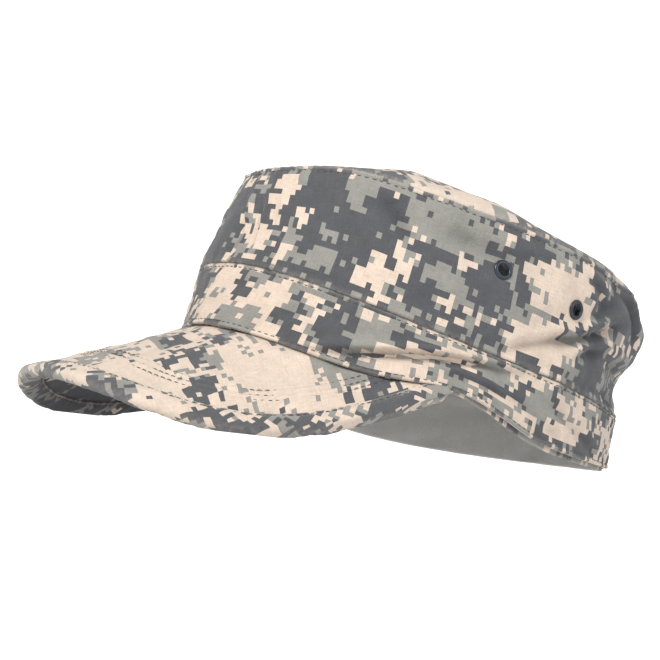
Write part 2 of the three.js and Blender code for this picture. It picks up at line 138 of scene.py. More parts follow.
# Creases that the cloth adds to the broad folds, as lines from a start to an end on the walls.
# width and bow, the line's sideways bend, and depth are millimetres; roll is the height of the
# rounded cloth that hangs over the crease, as a share of its depth.
CREASE_COLUMNS = ("start_angle", "start_level", "end_angle", "end_level", "bow", "width", "depth", "roll")
CREASES = {
    "band fold": (40, 0.04, 90, 0.84, 1.5, 2.2, 3.4, 0.85),
    "band fold lower": (70, 0.3, 96, 0.42, -1.0, 2.2, 1.2, 0.5),
    "band ripple rear": (100, 0.62, 128, 0.1, 1.5, 3.2, 1.1, 0.5),
    "band ripple mid": (92, 0.4, 110, 0.12, 1.0, 2.8, 0.8, 0.5),
    "wall hollow crease": (43, 1.82, 56, 1.58, 1.5, 3.6, 1.6, 0.4),
    "wall hollow line": (60, 1.78, 88, 1.78, -2.0, 4.0, 1.4, 0.4),
    "seam fold left": (84, 1.03, 108, 1.33, 2.0, 2.6, 2.0, 0.6),
    "rear long fold": (96, 1.28, 124, 1.66, -2.5, 2.6, 3.6, 0.9),
    "rear short fold": (106, 1.2, 124, 1.42, 1.5, 2.4, 2.4, 0.8),
    "eyelet fold": (104, 1.86, 119, 1.7, 1.5, 2.2, 1.5, 0.5),
    "upper rear fold": (122, 1.9, 140, 1.62, 2.0, 2.8, 2.8, 0.8),
    "waist fold high": (120, 1.3, 146, 1.36, 2.0, 3.0, 2.4, 0.6),
    "waist fold low": (124, 1.12, 150, 1.18, -1.5, 2.6, 2.0, 0.5),
    "wall low ripple": (50, 1.12, 76, 1.26, 2.0, 4.0, 0.6, 0.5),
    "front low ripple": (18, 1.12, 34, 1.22, 1.0, 3.0, 0.5, 0.5),
    "front pleat": (11.5, 1.16, 8, 1.6, 0.5, 1.3, 1.7, 0.8),
    "front seam slit": (2.4, 1.34, -0.4, 1.72, 0.3, 1.3, 2.2, 0.8),
    "front pleat high": (17, 1.36, 13, 1.7, 0.6, 2.0, 0.9, 0.6),
    "front high ripple": (8, 1.86, 26, 1.78, 1.0, 3.2, 0.5, 0.4),
    "back fold": (165, 1.3, 195, 1.44, 2.0, 3.0, 1.6, 0.6),
    "back fold low": (168, 0.7, 190, 0.9, 1.0, 2.4, 0.6, 0.5),
    "right waist fold": (206, 1.3, 236, 1.2, 2.0, 3.0, 1.6, 0.6),
    "right rear fold": (232, 1.62, 258, 1.34, 2.0, 2.8, 1.5, 0.6),
    "right seam fold": (250, 1.22, 276, 1.08, 1.5, 2.6, 1.0, 0.6),
    "right band fold": (262, 0.74, 300, 0.2, 1.5, 2.6, 1.8, 0.7),
    "right hollow line": (278, 1.76, 312, 1.72, 2.0, 4.0, 0.9, 0.4),
}

# Soft bumps and hollows of the top panel, as places and half sizes in plan and a height upwards.
DOME_BUMP_COLUMNS = ("x", "y", "half_x", "half_y", "height")
DOME_BUMPS = {
    "front swell": (30, -42, 30, 26, 1.6),
    "left rear hollow": (52, 30, 18, 22, -3.2),
    "right hollow": (-30, 20, 34, 18, -2.0),
    "rear swell": (10, 74, 40, 16, 1.2),
    "middle ridge": (0, 0, 8, 70, 0.8),
}

# The front left of the crown's top edge stands a little higher than drawn.
TOP_LIFT = 3.2
TOP_LIFT_ANGLE = 36.0
TOP_LIFT_WIDTH = 22.0

# How far the top panel sags inside its seam, as a share of its rise, by angle.
DOME_SLACK_ANGLES = (-180, -120, -70, 0, 30, 45, 60, 85, 105, 125, 150, 180)
DOME_SLACKS = (0.5, 0.6, 0.7, 0.8, 0.45, 0.1, 0.0, 0.15, 0.3, 0.1, 0.4, 0.5)
DOME_SLACK_START = 0.3
DOME_SLACK_END = 0.9

# Shares of the top panel over which its bumps and lumps fade in from its edge, and its set-back seam
DOME_BUMP_FADE = 0.35
DOME_LUMP_FADE = 0.1
DOME_INSET = 0.9
DOME_INSET_REACH = 1.0

# Paths of the centre seams: their angles from the middle at each level, and how far round they draw
# the cloth with them
FRONT_SEAM_LEVELS = (0.0, 0.24, 0.52, 0.91, 1.26, 1.41, 1.56, 1.65, 1.9, 2.0)
FRONT_SEAM_ANGLES = (-8.0, -5.0, -1.0, 2.0, 3.2, 3.0, 1.2, 0.0, -2.0, -1.5)
BACK_SEAM_LEVELS = (0.0, 0.6, 1.1, 1.5, 2.0)
BACK_SEAM_ANGLES = (0.0, 1.0, -1.2, 1.2, 0.0)
SEAM_SHIFT_REACH = 34.0

# Eyelets: angle and level, thickness of their metal, and how much wider the cloth's hole is
EYELETS = {
    "eyelet_left_front": (80, 1.63),
    "eyelet_left_rear": (104, 1.58),
    "eyelet_right_front": (-80, 1.63),
    "eyelet_right_rear": (-104, 1.58),
}
EYELET_WALL = 0.5
EYELET_SIDES = 56
DRILL_MARGIN = 0.8
DRILL_SIDES = 28

# Distances of the stitch rows: from the seams of the walls, and from the edge of the peak
RIM_ROW = 2.0
BAND_ROW = 1.7
CROWN_ROW = 1.9
BINDING_ROW = 1.3
PEAK_ROWS = (21.7, 25.8, 30.0)

# Away from its front, the peak's rows draw closer to its edge: by a share, over an angle
PEAK_ROWS_DRAW_IN = 0.24
PEAK_ROWS_TURN = 50.0

# Grooves that stitches pull into the cloth, and ridges beside the seams as (height, place, width)
STITCH_GROOVE_DEPTH = 0.22
STITCH_GROOVE_WIDTH = 0.75
RIM_RIDGE = (0.35, 0.9, 1.1)
BAND_TOP_RIDGE = (0.2, 0.7, 0.9)
CROWN_FOOT_RIDGE = (0.5, 0.9, 1.0)
CROWN_TOP_RIDGE = (0.55, 0.7, 0.9)

# Centre seams: the wearer's left side laps over the right one, beside a groove, with a rippled edge
SEAM_GAP = 0.04
SEAM_LAP = 1.3
BACK_LAP_SHARE = 0.7
LAP_STEP = 0.7
LAP_REACH = 6.0
LAP_GROOVE_DEPTH = 1.2
LAP_GROOVE_PLACE = 0.5
LAP_GROOVE_WIDTH = 0.9
LAP_RIPPLE = 0.3
LAP_RIPPLE_PITCH = 1.15
LAP_RIPPLE_UNEVEN = 0.6
LAP_RIPPLE_UNEVEN_PITCH = 3.1
LAP_RIPPLE_REACH = 3.5
LAP_RIPPLE_PHASES = (1.0, 2.3)

# Section of every crease: how square its groove is, place and width of its roll in shares of the
# crease's width, and the share of its length that is deep
CREASE_SHARPNESS = 1.6
CREASE_LENGTH_SHARE = 0.88
ROLL_PLACE = 1.35
ROLL_WIDTH = 0.9

# Lumps of unlined cloth: height, size across and seed
WALL_LUMPS = (0.42, 24, 3)
SMALL_WALL_LUMPS = (0.2, 10, 5)
FINE_WALL_LUMPS = (0.07, 4.5, 6)
DOME_LUMPS = (0.45, 30, 21)
PEAK_LUMPS = (0.4, 26, 31)
SMALL_PEAK_LUMPS = (0.14, 8, 33)
BINDING_LUMPS = (0.2, 12, 45)
INNER_BAND_LUMPS = (0.2, 11, 51)
NOISE_WAVES = 10
NOISE_SIZE_SPREAD = (0.8, 1.7)
NOISE_SCALE = 2.2

# Puckers at a seam: how many go round the cap, seed, height and reach from the seam
RIM_PUCKERS = (86, 13, 0.34, 3.5)
BAND_SEAM_PUCKERS = (92, 7, 0.5, 4.5)
TOP_SEAM_PUCKERS = (104, 11, 0.42, 4.0)
DOME_PUCKERS = (104, 11, 0.5, 3.5)

# How far puckers wander and how uneven they are, each with the size of the noise that does it
PUCKER_SHIFT = 1.5
PUCKER_SHIFT_SIZE = 34
PUCKER_UNEVEN = 0.35
PUCKER_UNEVEN_SIZE = 26

# The cloth is smooth as far as this from an eyelet's middle, and the flange presses it in.
EYELET_CALM = 7.5
EYELET_PRESS_DEPTH = 0.12
EYELET_PRESS_MARGIN = 0.6

# Inner faces follow the outer ones by a share, with a share of their fine relief
INNER_DEPTH_SHARE = 0.75
INNER_FINENESS = 0.3

# How far the print is missing on the back of the cloth
REVERSE_FADE = 0.92

# Painted shade: the cloth's colour is darkened where folds and the band seam are hollow
HOLLOW_DEPTH = 2.6
HOLLOW_POWER = 1.3
HOLLOW_SHADE = 0.42
SEAM_SHADE = 1.5
SEAM_SHADE_REACH = 0.55

# Reach of the rubbed edges
WALL_WEAR = 0.7
TOP_WEAR = 1.2
INNER_BAND_WEAR = 1.0
BINDING_EDGE_WEAR = 1.2
BINDING_FOLD_WEAR = 3.0
BINDING_FOLD_WEAR_SHARE = 0.5

# Peak: mesh, quilting between its rows, calm cloth at its edge and rim, and its flat cut's length
PEAK_COLUMNS = 300
PEAK_LINES = 64
PEAK_LINE_POWER = 0.95
PEAK_EDGE_TURN = 80
PEAK_EDGE_STEPS = 7
QUILT_DEPTH = 0.12
QUILT_RAISE = 0.25
QUILT_FADE = 3
PEAK_EDGE_CALM = 6
PEAK_RIM_CALM = 5
UNDERSIDE_LUMPS = 0.4
PEAK_CUT_STRETCH = 1.17

# Lines along the peak's edge: points that place them, points that distances are taken from, stride of
# the walk inwards and where it stops short of the rim
EDGE_SAMPLES = 4001
EDGE_LINE_POINTS = 900
WALK_STRIDE = 0.8
WALK_STOP = 0.4

# Binding: places of its mesh across it in eighths of its span, dent of its stitches, slim edge, grip
# on the peak, slanting puckers, and where its print turns into that of the underside
BINDING_SPAN = 8.0
BINDING_PLACES = (0, 0.8, 1.7, 2.6, 3.5, 4.3, 5.0, 5.6, 6.0, 6.35, 6.7, 7.05, 7.4, 7.65, 7.85, 7.97)
BINDING_COLUMNS = 380
BINDING_ROUND = 0.8
BINDING_DENT = 0.42
BINDING_DENT_WIDTH = 0.8
BINDING_SLIM = 0.35
BINDING_SLIM_REACH = 4
BINDING_GRIP = 0.25
BINDING_GRIP_REACH = 3
BINDING_PUCKER = 0.2
BINDING_PUCKER_PITCH = 5.6
BINDING_PUCKER_SLANT = 0.8
BINDING_PUCKER_WANDER = (1.6, 20, 41)
BINDING_PUCKER_UNEVEN = (0.4, 16, 43)
BINDING_PUCKER_LEVEL = 0.6
BINDING_PUCKER_FADE = 1.5
BINDING_FOLD_STEPS = 17
BINDING_UNDER_FROM = -1.0
BINDING_UNDER_TO = 4.0

# Top panel: radius of the fan in its middle, rows of its mesh from the edge, and depths of the seam
# allowance that hangs inside the walls, which is as little worn as a place well inside the panel
TOP_MIDDLE = 0.8
TOP_EDGE_STEP = 0.1
TOP_FINE_PITCH = 0.3
TOP_FINE_REACH = 1.0
TOP_COARSE_FROM = 12
TOP_TUCK_START = 0.9
TOP_ALLOWANCE = (1.5, 3.0, 4.5)
UNWORN = 9

# Inner band: how far it stands above the height of the outer band, and its mesh
INNER_BAND_OVERLAP = 4.3
INNER_BAND_LIP_ROWS = (0, 0.12, 0.4, 0.8, 1.4)
INNER_BAND_WALL_FROM = 2.2
INNER_BAND_WALL_ROWS = 14
INNER_BAND_TOP_STEP = 0.3
INNER_BAND_COLUMNS = 320
INNER_BAND_ROUND = 0.95

# Fineness of the meshes: pitch, finest pitch, and how far from an edge or row the finest one reaches
PITCH = 1.15
FINE_PITCH = 0.42
COLUMN_REACH = 2.2
ROW_REACH = 1.4
EDGE_STEP = 0.2
SLIVER = 0.02


def columns(names, row):
    """A table's row as named values."""
    return dict(zip(names, row))


def wrap(angle):
    """The same angle between half a turn back and half a turn on."""
    return np.arctan2(np.sin(angle), np.cos(angle))


def blend(angle, front, side, rear):
    """Weights of front, side and rear at an angle from the centre front."""
    c = np.cos(angle)
    return side + (np.where(c > 0, front, rear) - side) * c * c


def unit(vectors):
    """Vectors made 1 long."""
    length = np.linalg.norm(vectors, axis=-1, keepdims=True)
    return vectors / np.maximum(length, 1e-9)


def smoothstep(low, high, value):
    """0 up to low, 1 from high, and a smooth rise between."""
    t = np.clip((value - low) / (high - low), 0, 1)
    return t * t * (3 - 2 * t)


def bump(distance, width):
    """A soft bell round a line: 1 on it and next to nothing two widths away."""
    return np.exp(-((distance / width) ** 2))


def oval_point(oval, angle):
    """A point of one of the ovals that the walls run through."""
    front = np.cos(angle) > 0
    reach = oval["length"] / 2 * np.where(front, oval["reach_front"], oval["reach_rear"])
    side = oval["width"] / 2 * oval["reach_side"]
    drop = SIDE_ARCH * blend(angle, oval["drop_front"], oval["drop_side"], oval["drop_rear"])
    return np.stack([side * np.sin(angle), -reach * np.cos(angle), oval["height"] - drop], -1)


def wall_out(angle):
    """Horizontal outward direction of the walls."""
    out = np.stack([np.sin(angle) / RIM_WIDTH, -np.cos(angle) / RIM_LENGTH, 0 * angle], -1)
    return unit(out)


def wall_swell(angle, share):
    """How far the crown wall bulges out, at a share of its height."""
    total = np.zeros(np.broadcast(angle, share).shape)
    rows = [columns(SWELL_COLUMNS, row) for row in WALL_SWELL]
    for low, high in zip(rows[:-1], rows[1:]):
        inside = (share >= low["height"]) & (share <= high["height"])
        t = smoothstep(low["height"], high["height"], share)
        a = blend(angle, low["front"], low["side"], low["rear"])
        b = blend(angle, high["front"], high["side"], high["rear"])
        total = np.where(inside, a + (b - a) * t, total)
    return FOLD_DEPTH * total


def fold_depth(angle, level):
    """How far the broad folds take the wall in."""
    depth = 0.0
    for row in FOLDS.values():
        fold = columns(FOLD_COLUMNS, row)
        along = wrap(angle - fold["angle"] * RAD) / (fold["half_angle"] * RAD)
        across = (level - fold["level"] - fold["rise"] * along * 0.5) / fold["half_level"]
        depth = depth + FOLD_DEPTH * fold["depth"] * np.exp(-along * along - across * across)
    return depth


def wall_point(angle, level, depth):
    """A point of the walls: level 0 is the rim, 1 the band seam and 2 the top seam."""
    angle, level, depth = np.broadcast_arrays(angle, level, depth)
    rim = oval_point(OVALS["rim"], angle)
    away = (np.abs(wrap(angle)) - PEAK_HALF_ANGLE * RAD) / (PEAK_END_WIDTH * RAD)
    rim[..., 2] += PEAK_END_LIFT * np.exp(-away * away)
    seam = oval_point(OVALS["seam"], angle)
    top = oval_point(OVALS["top"], angle)
    top[..., 2] += TOP_LIFT * bump(wrap(angle - TOP_LIFT_ANGLE * RAD), TOP_LIFT_WIDTH * RAD)
    low = np.minimum(level, 1)[..., None]
    high = np.maximum(level - 1, 0)[..., None]
    point = rim + (seam - rim) * low + (top - seam) * high
    swell = np.where(level > 1, wall_swell(angle, np.clip(level - 1, 0, 1)), 0)
    out = swell - fold_depth(angle, level) - depth
    return point + wall_out(angle) * out[..., None]


# Length along the strips, as a table against the angle, and height up them.
TURNS = np.linspace(-math.pi, math.pi, 1441)
SEAM_LINE = oval_point(OVALS["seam"], TURNS)
STEP_LENGTHS = np.linalg.norm(np.diff(SEAM_LINE, axis=0), axis=1)
ARC = np.concatenate([[0], np.cumsum(STEP_LENGTHS)])
GIRTH = ARC[-1]
ARC = ARC - GIRTH / 2


def along_strip(angle):
    """Length along the strip from the centre front, continued past the back."""
    turns = np.floor((angle + math.pi) / (2 * math.pi))
    return np.interp(angle - 2 * math.pi * turns, TURNS, ARC) + turns * GIRTH


def up_strip(level):
    """Height up the strips at a level."""
    return np.where(level < 1, BAND_HEIGHT * level, BAND_HEIGHT + CROWN_HEIGHT * (level - 1))


def soft_noise(point, size, seed):
    """Smooth noise about 1 high, with lumps about a size across."""
    draw = np.random.default_rng(seed)
    total = 0.0
    for _ in range(NOISE_WAVES):
        direction = unit(draw.normal(size=3))
        pitch = 2 * math.pi / (size * draw.uniform(*NOISE_SIZE_SPREAD))
        total = total + np.cos(point @ direction * pitch + draw.uniform(0, 2 * math.pi))
    return total / NOISE_SCALE


def lumps(point, height, size, seed):
    return height * soft_noise(point, size, seed)


def ruffle(angle, point, count, seed):
    """Puckers along a seam: count of them round the cap, uneven in place and height."""
    shift = PUCKER_SHIFT * soft_noise(point, PUCKER_SHIFT_SIZE, seed)
    height = 1 - PUCKER_UNEVEN + PUCKER_UNEVEN * soft_noise(point, PUCKER_UNEVEN_SIZE, seed + 1)
    return height * np.sin(count * angle + shift)


def skew(angle, level):
    """The angle at which a thread of the strips lies once its front and back seams have wandered."""
    front = np.interp(level, FRONT_SEAM_LEVELS, FRONT_SEAM_ANGLES)
    back = np.interp(level, BACK_SEAM_LEVELS, BACK_SEAM_ANGLES)
    from_front = wrap(angle) / (SEAM_SHIFT_REACH * RAD)
    from_back = wrap(angle - math.pi) / (SEAM_SHIFT_REACH * RAD)
    shift = front * np.exp(-from_front * from_front) + back * np.exp(-from_back * from_back)
    return angle + shift * RAD


def crease_relief(angle, level):
    """Height of the creases over the drawn wall."""
    total = 0.0
    v = up_strip(level)
    for row in CREASES.values():
        crease = columns(CREASE_COLUMNS, row)
        start = np.array([along_strip(crease["start_angle"] * RAD), up_strip(crease["start_level"])])
        end = np.array([along_strip(crease["end_angle"] * RAD), up_strip(crease["end_level"])])
        run = end - start
        length = np.hypot(*run)
        du = along_strip(angle) - start[0]
        du = du - GIRTH * np.round((du - run[0] / 2) / GIRTH)
        dv = v - start[1]
        share = (du * run[0] + dv * run[1]) / length**2
        side = math.copysign(1, run[0])
        off = side * (dv * run[0] - du * run[1]) / length - crease["bow"] * 4 * share * (1 - share)
        across = off / crease["width"]
        fade = np.exp(-(((2 * share - 1) / CREASE_LENGTH_SHARE) ** 4))
        groove = -np.exp(-np.abs(across) ** CREASE_SHARPNESS)
        roll = crease["roll"] * bump(across - ROLL_PLACE, ROLL_WIDTH)
        total = total + crease["depth"] * fade * (groove + roll)
    return total


def near_eyelets(angle, level, reach):
    """1 at the eyelets and nothing away from them."""
    total = 0.0
    for degrees, eyelet_level in EYELETS.values():
        du = along_strip(wrap(angle)) - along_strip(degrees * RAD)
        dv = up_strip(level) - up_strip(eyelet_level)
        total = total + np.exp(-(np.hypot(du, dv) / reach) ** 4)
    return np.clip(total, 0, 1)


def edge_rounding(distance, radius):
    """How far a rounded edge falls back at a distance from it."""
    d = np.clip(distance, 0, radius)
    return radius - np.sqrt(np.maximum(radius**2 - (radius - d) ** 2, 0))


def wall_relief(thread, level, fineness=1.0):
    """Height of the cloth over the drawn wall, without its edges and stitch rows."""
    cloth = bpy.context.scene.cap_cloth
    angle = skew(thread, level)
    base = wall_point(angle, level, 0)
    up = up_strip(level)
    at_seam = np.abs(up - BAND_HEIGHT)
    at_top = np.abs(up - BAND_HEIGHT - CROWN_HEIGHT)
    folds = cloth.crease_depth * crease_relief(angle, level)
    soft = cloth.softness * (lumps(base, *WALL_LUMPS) + lumps(base, *SMALL_WALL_LUMPS))
    height, size, seed = FINE_WALL_LUMPS
    soft = soft + cloth.softness * height * fineness * soft_noise(base, size, seed)
    puckers = 0.0
    for away, row in ((at_seam, BAND_SEAM_PUCKERS), (at_top, TOP_SEAM_PUCKERS), (up, RIM_PUCKERS)):
        count, seed, height, reach = row
        puckers = puckers + ruffle(angle, base, count, seed) * (height * np.exp(-away / reach))
    calm = 1 - near_eyelets(angle, level, EYELET_CALM)
    return (folds + soft + cloth.puckers * puckers * fineness) * calm


def centre_seams(thread):
    """For the front and the back seam: distance past it, height of its lap and phase of its ripple."""
    off = along_strip(thread)
    back = off - np.sign(off) * GIRTH / 2
    front_phase, back_phase = LAP_RIPPLE_PHASES
    return (off, SEAM_LAP, front_phase), (-back, SEAM_LAP * BACK_LAP_SHARE, back_phase)


def seam_lap(distance, height):
    """How far the cloth is lifted on the lapping side of a seam, and lowered on the other."""
    return height * (smoothstep(-LAP_STEP, LAP_STEP, distance) - 0.5) * bump(distance, LAP_REACH)


def seam_lift(thread):
    """How far the laps at the centre seams lift both faces of the cloth."""
    return sum(seam_lap(distance, height) for distance, height, _ in centre_seams(thread))


def seam_relief(thread, level):
    """The centre seams on the outer face: lap, groove and rippled edge."""
    up = up_strip(level)
    total = 0.0
    for distance, height, phase in centre_seams(thread):
        groove = -LAP_GROOVE_DEPTH * bump(distance + LAP_GROOVE_PLACE, LAP_GROOVE_WIDTH)
        uneven = LAP_RIPPLE_UNEVEN * np.sin(up / LAP_RIPPLE_UNEVEN_PITCH)
        ripple = LAP_RIPPLE * np.sin(up / LAP_RIPPLE_PITCH + phase + uneven)
        ripple = ripple * np.exp(-np.abs(distance) / LAP_RIPPLE_REACH)
        total = total + seam_lap(distance, height) + groove + ripple
    return total


def stitch_groove(distance):
    return -STITCH_GROOVE_DEPTH * bump(distance, STITCH_GROOVE_WIDTH)


def ridge(distance, height, place, width):
    return height * bump(distance - place, width)


def band_relief(thread, level):
    up = up_strip(level)
    below_seam = BAND_HEIGHT - up
    ridges = ridge(up, *RIM_RIDGE) + ridge(below_seam, *BAND_TOP_RIDGE)
    grooves = stitch_groove(up - RIM_ROW) + stitch_groove(below_seam - BAND_ROW)
    rounding = edge_rounding(up, BAND_CLOTH / 2) + edge_rounding(below_seam, BAND_CLOTH / 2)
    return wall_relief(thread, level) + seam_relief(thread, level) + ridges + grooves - rounding


def crown_relief(thread, level):
    above_seam = up_strip(level) - BAND_HEIGHT
    below_top = CROWN_HEIGHT - above_seam
    angle = skew(thread, level)
    ridges = ridge(above_seam, *CROWN_FOOT_RIDGE) + ridge(below_top, *CROWN_TOP_RIDGE)
    grooves = stitch_groove(below_top - CROWN_ROW)
    rounding = edge_rounding(above_seam, CROWN_CLOTH / 2) + edge_rounding(below_top, CROWN_CLOTH / 2)
    pressed = -EYELET_PRESS_DEPTH * near_eyelets(angle, level, EYELET_DIAMETER / 2 + EYELET_PRESS_MARGIN)
    return wall_relief(thread, level) + seam_relief(thread, level) + ridges + grooves + pressed - rounding


def band_surface(thread, level):
    return wall_point(skew(thread, level), level, -band_relief(thread, level))


def crown_surface(thread, level):
    return wall_point(skew(thread, level), level, -crown_relief(thread, level))


def dome_base(thread, share):
    """A point of the drawn top panel: share 1 is its edge and 0 its middle."""
    centre = np.array([0, 0, oval_point(OVALS["top"], np.array(math.pi / 2))[2]])
    rim = wall_point(skew(thread, 2.0 + 0 * thread), 2.0, 0)
    share = share[..., None]
    point = centre + (rim - centre) * share
    rise = DOME_HEIGHT * (1 - share[..., 0] ** DOME_FLATNESS) ** DOME_EDGE_ROUND
    slack = np.interp(wrap(thread) / RAD, DOME_SLACK_ANGLES, DOME_SLACKS)
    point[..., 2] += rise * (1 - slack * smoothstep(DOME_SLACK_START, DOME_SLACK_END, share[..., 0]))
    return point


def dome_surface(thread, share):
    """The top panel, with its soft bumps, the ruffles round its edge and its set-back seam."""
    cloth = bpy.context.scene.cap_cloth
    point = dome_base(thread, share)
    from_edge = (1 - share) * CROWN_WIDTH / 2
    height = 0.0
    for row in DOME_BUMPS.values():
        lump = columns(DOME_BUMP_COLUMNS, row)
        dx = (point[..., 0] - lump["x"]) / lump["half_x"]
        dy = (point[..., 1] - lump["y"]) / lump["half_y"]
        height = height + lump["height"] * np.exp(-dx * dx - dy * dy)
    height = height * smoothstep(0.0, DOME_BUMP_FADE, 1 - share)
    height = height + cloth.softness * lumps(point, *DOME_LUMPS) * smoothstep(0, DOME_LUMP_FADE, 1 - share)
    count, seed, pucker_height, reach = DOME_PUCKERS
    puckers = cloth.puckers * ruffle(thread, point, count, seed) * pucker_height * np.exp(-from_edge / reach)
    point[..., 2] += height
    inset = DOME_INSET * np.exp(-from_edge / DOME_INSET_REACH) - puckers
    return point - wall_out(thread) * inset[..., None]


def middle_of(names, points):
    return np.mean([points[name] for name in names], axis=0)


def resting_place():
    """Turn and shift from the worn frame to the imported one: the eyelets show how far the cap leans and
    where it lies."""
    drawn, packed = {}, {}
    for name, (degrees, level) in EYELETS.items():
        low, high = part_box(name)
        drawn[name] = wall_point(np.array(degrees * RAD), np.array(level), CROWN_CLOTH / 2)
        packed[name] = (np.array(low) + np.array(high)) / 2 / MM
    fronts = [name for name in EYELETS if name.endswith("front")]
    rears = [name for name in EYELETS if name.endswith("rear")]
    here = middle_of(rears, drawn) - middle_of(fronts, drawn)
    there = middle_of(rears, packed) - middle_of(fronts, packed)
    lean = math.atan2(there[2], there[1]) - math.atan2(here[2], here[1])
    turn = np.array(Matrix.Rotation(lean, 3, "X"))
    return turn, middle_of(EYELETS, packed) - turn @ middle_of(EYELETS, drawn)


TURN, SHIFT = resting_place()


def to_frame(points):
    """Turns worn points onto the frame, in metres, and flattens what would sink into the floor."""
    placed = points @ TURN.T + SHIFT
    placed[..., 2] = np.maximum(placed[..., 2], 0)
    return placed * MM


def graded(start, stop, pitch, fine, places, reach):
    """Positions from start to stop, a pitch apart, and closer near the given places."""
    positions = [start]
    while positions[-1] < stop:
        here = positions[-1]
        gap = min(abs(here + pitch / 2 - place) for place in places)
        share = min(max((gap - reach) / (2 * pitch), 0), 1)
        positions.append(here + fine + (pitch - fine) * share)
    positions = np.array(positions)
    return start + (positions - start) * (stop - start) / (positions[-1] - start)


def angle_columns(start, stop, places):
    """Angles from start to stop in steps of about a pitch round the rim."""
    mean_radius = (RIM_LENGTH + RIM_WIDTH) / 4
    fine = FINE_PITCH / mean_radius
    return graded(start, stop, PITCH / mean_radius, fine, places, COLUMN_REACH / mean_radius)


def strip_rows(height, places):
    """Heights up a strip, closer at its edges and stitch rows."""
    rows = graded(0, height, PITCH, FINE_PITCH, places, ROW_REACH)
    close = np.array([SEAM_GAP / 2, SEAM_GAP / 2 + EDGE_STEP])
    inside = rows[(rows > SEAM_GAP / 2 + 2 * EDGE_STEP) & (rows < height - SEAM_GAP / 2 - 2 * EDGE_STEP)]
    return np.concatenate([close, inside, height - close[::-1]])


def new_mesh(name, points, faces, material, cut=None, marks=None):
    """An object of its own from points, faces, the cloth's cut at each face corner and named marks."""
    mesh = bpy.data.meshes.new(name)
    mesh.from_pydata(points.reshape(-1, 3).tolist(), [], faces)
    mesh.polygons.foreach_set("use_smooth", np.ones(len(mesh.polygons), bool))
    if cut is not None:
        mesh.uv_layers.new(name="cut").data.foreach_set("uv", cut.astype(np.float32).ravel())
    for mark, values in (marks or {}).items():
        mesh.attributes.new(mark, "FLOAT", "POINT").data.foreach_set("value", values.astype(np.float32))
    mesh.materials.append(material)
    mesh.update()
    piece = bpy.data.objects.new(name, mesh)
    bpy.context.scene.collection.objects.link(piece)
    return piece


def faces_out(grid, faces):
    """Whether the faces wind so that they face out of their body."""
    points = grid.reshape(-1, 3)
    first = points[[face[0] for face in faces]]
    volume = 0.0
    for k in (1, 2):
        b = points[[face[k] for face in faces]]
        c = points[[face[(k + 1) % len(face)] for face in faces]]
        volume += np.sum(first * np.cross(b, c))
    return volume > 0


def loft(name, grid, cut, material, closed_columns, marks=None, ends=False, fans=False):
    """A closed body from columns of points. Each column runs up the outside and down the inside, and
    closes on itself. cut holds the flat cloth's place for each column and row, and one more where they
    close. ends closes the first and last columns with a section each, and fans closes the first and last
    rows of open columns with a point each. marks are named values, one for each point."""
    count, rows = grid.shape[:2]
    next_column = count if closed_columns else count - 1
    next_row = rows - 1 if fans else rows
    i, j = np.meshgrid(np.arange(next_column), np.arange(next_row), indexing="ij")
    here, ahead = i * rows, (i + 1) % count * rows
    above = (j + 1) % rows
    quads = np.stack([here + j, ahead + j, ahead + above, here + above], -1).reshape(-1, 4).tolist()
    corners = [np.stack([cut[i, j], cut[i + 1, j], cut[i + 1, j + 1], cut[i, j + 1]], -2).reshape(-1, 4, 2)]
    faces = list(quads)
    points = grid.reshape(-1, 3)

    def add(face, places, turned):
        faces.append(face[::-1] if turned else face)
        corners.append(np.array([places[::-1] if turned else places]))

    if ends:
        for column, turned in ((0, False), (count - 1, True)):
            for k in range(rows // 2 - 1 + rows % 2):
                section = list(dict.fromkeys([k, k + 1, rows - 2 - k, rows - 1 - k]))
                add([column * rows + n for n in section], [cut[column, n] for n in section], turned)
    if fans:
        for row, turned in ((0, False), (rows - 1, True)):
            middle = len(points)
            points = np.concatenate([points, grid[:, row].mean(0, keepdims=True)])
            middle_cut = cut[:count, row].mean(0)
            for k in range(count):
                face = [k * rows + row, middle, ((k + 1) % count) * rows + row]
                add(face, [cut[k, row], middle_cut, cut[k + 1, row]], turned)
    if not faces_out(points, quads):
        faces = [face[::-1] for face in faces]
        corners = [part[:, ::-1] for part in corners]
    corners = np.concatenate([part.reshape(-1, 2) for part in corners])
    spare = np.zeros(len(points) - count * rows)
    marks = {mark: np.concatenate([values.ravel(), spare]) for mark, values in (marks or {}).items()}
    return new_mesh(name, points, faces, material, corners, marks)


def closed_section(outer, inner):
    """Points up the outside followed by points down the inside."""
    return np.concatenate([outer, inner[:, ::-1]], axis=1)


def inner_share(grid):
    """1 on the inner half of each section and 0 on the outer one."""
    return np.broadcast_to(np.arange(grid.shape[1]) >= grid.shape[1] / 2, grid.shape[:2]).astype(float)


def both_faces(values, grid):
    """Values up the outside of a section, with the same down its inside, for each column."""
    return np.broadcast_to(np.concatenate([values, values[::-1]]), grid.shape[:2])


def section_cut(u, v):
    """The flat cloth's place for a section that runs up the outside and down the inside."""
    v = np.concatenate([v, v[::-1], v[:1]])
    return np.stack(np.meshgrid(u, v, indexing="ij"), -1)


def dressed(piece, nodes):
    """Puts a finished piece on the frame in place of its solids."""
    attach(piece, "root")
    if nodes:
        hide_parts(*nodes)
    return piece


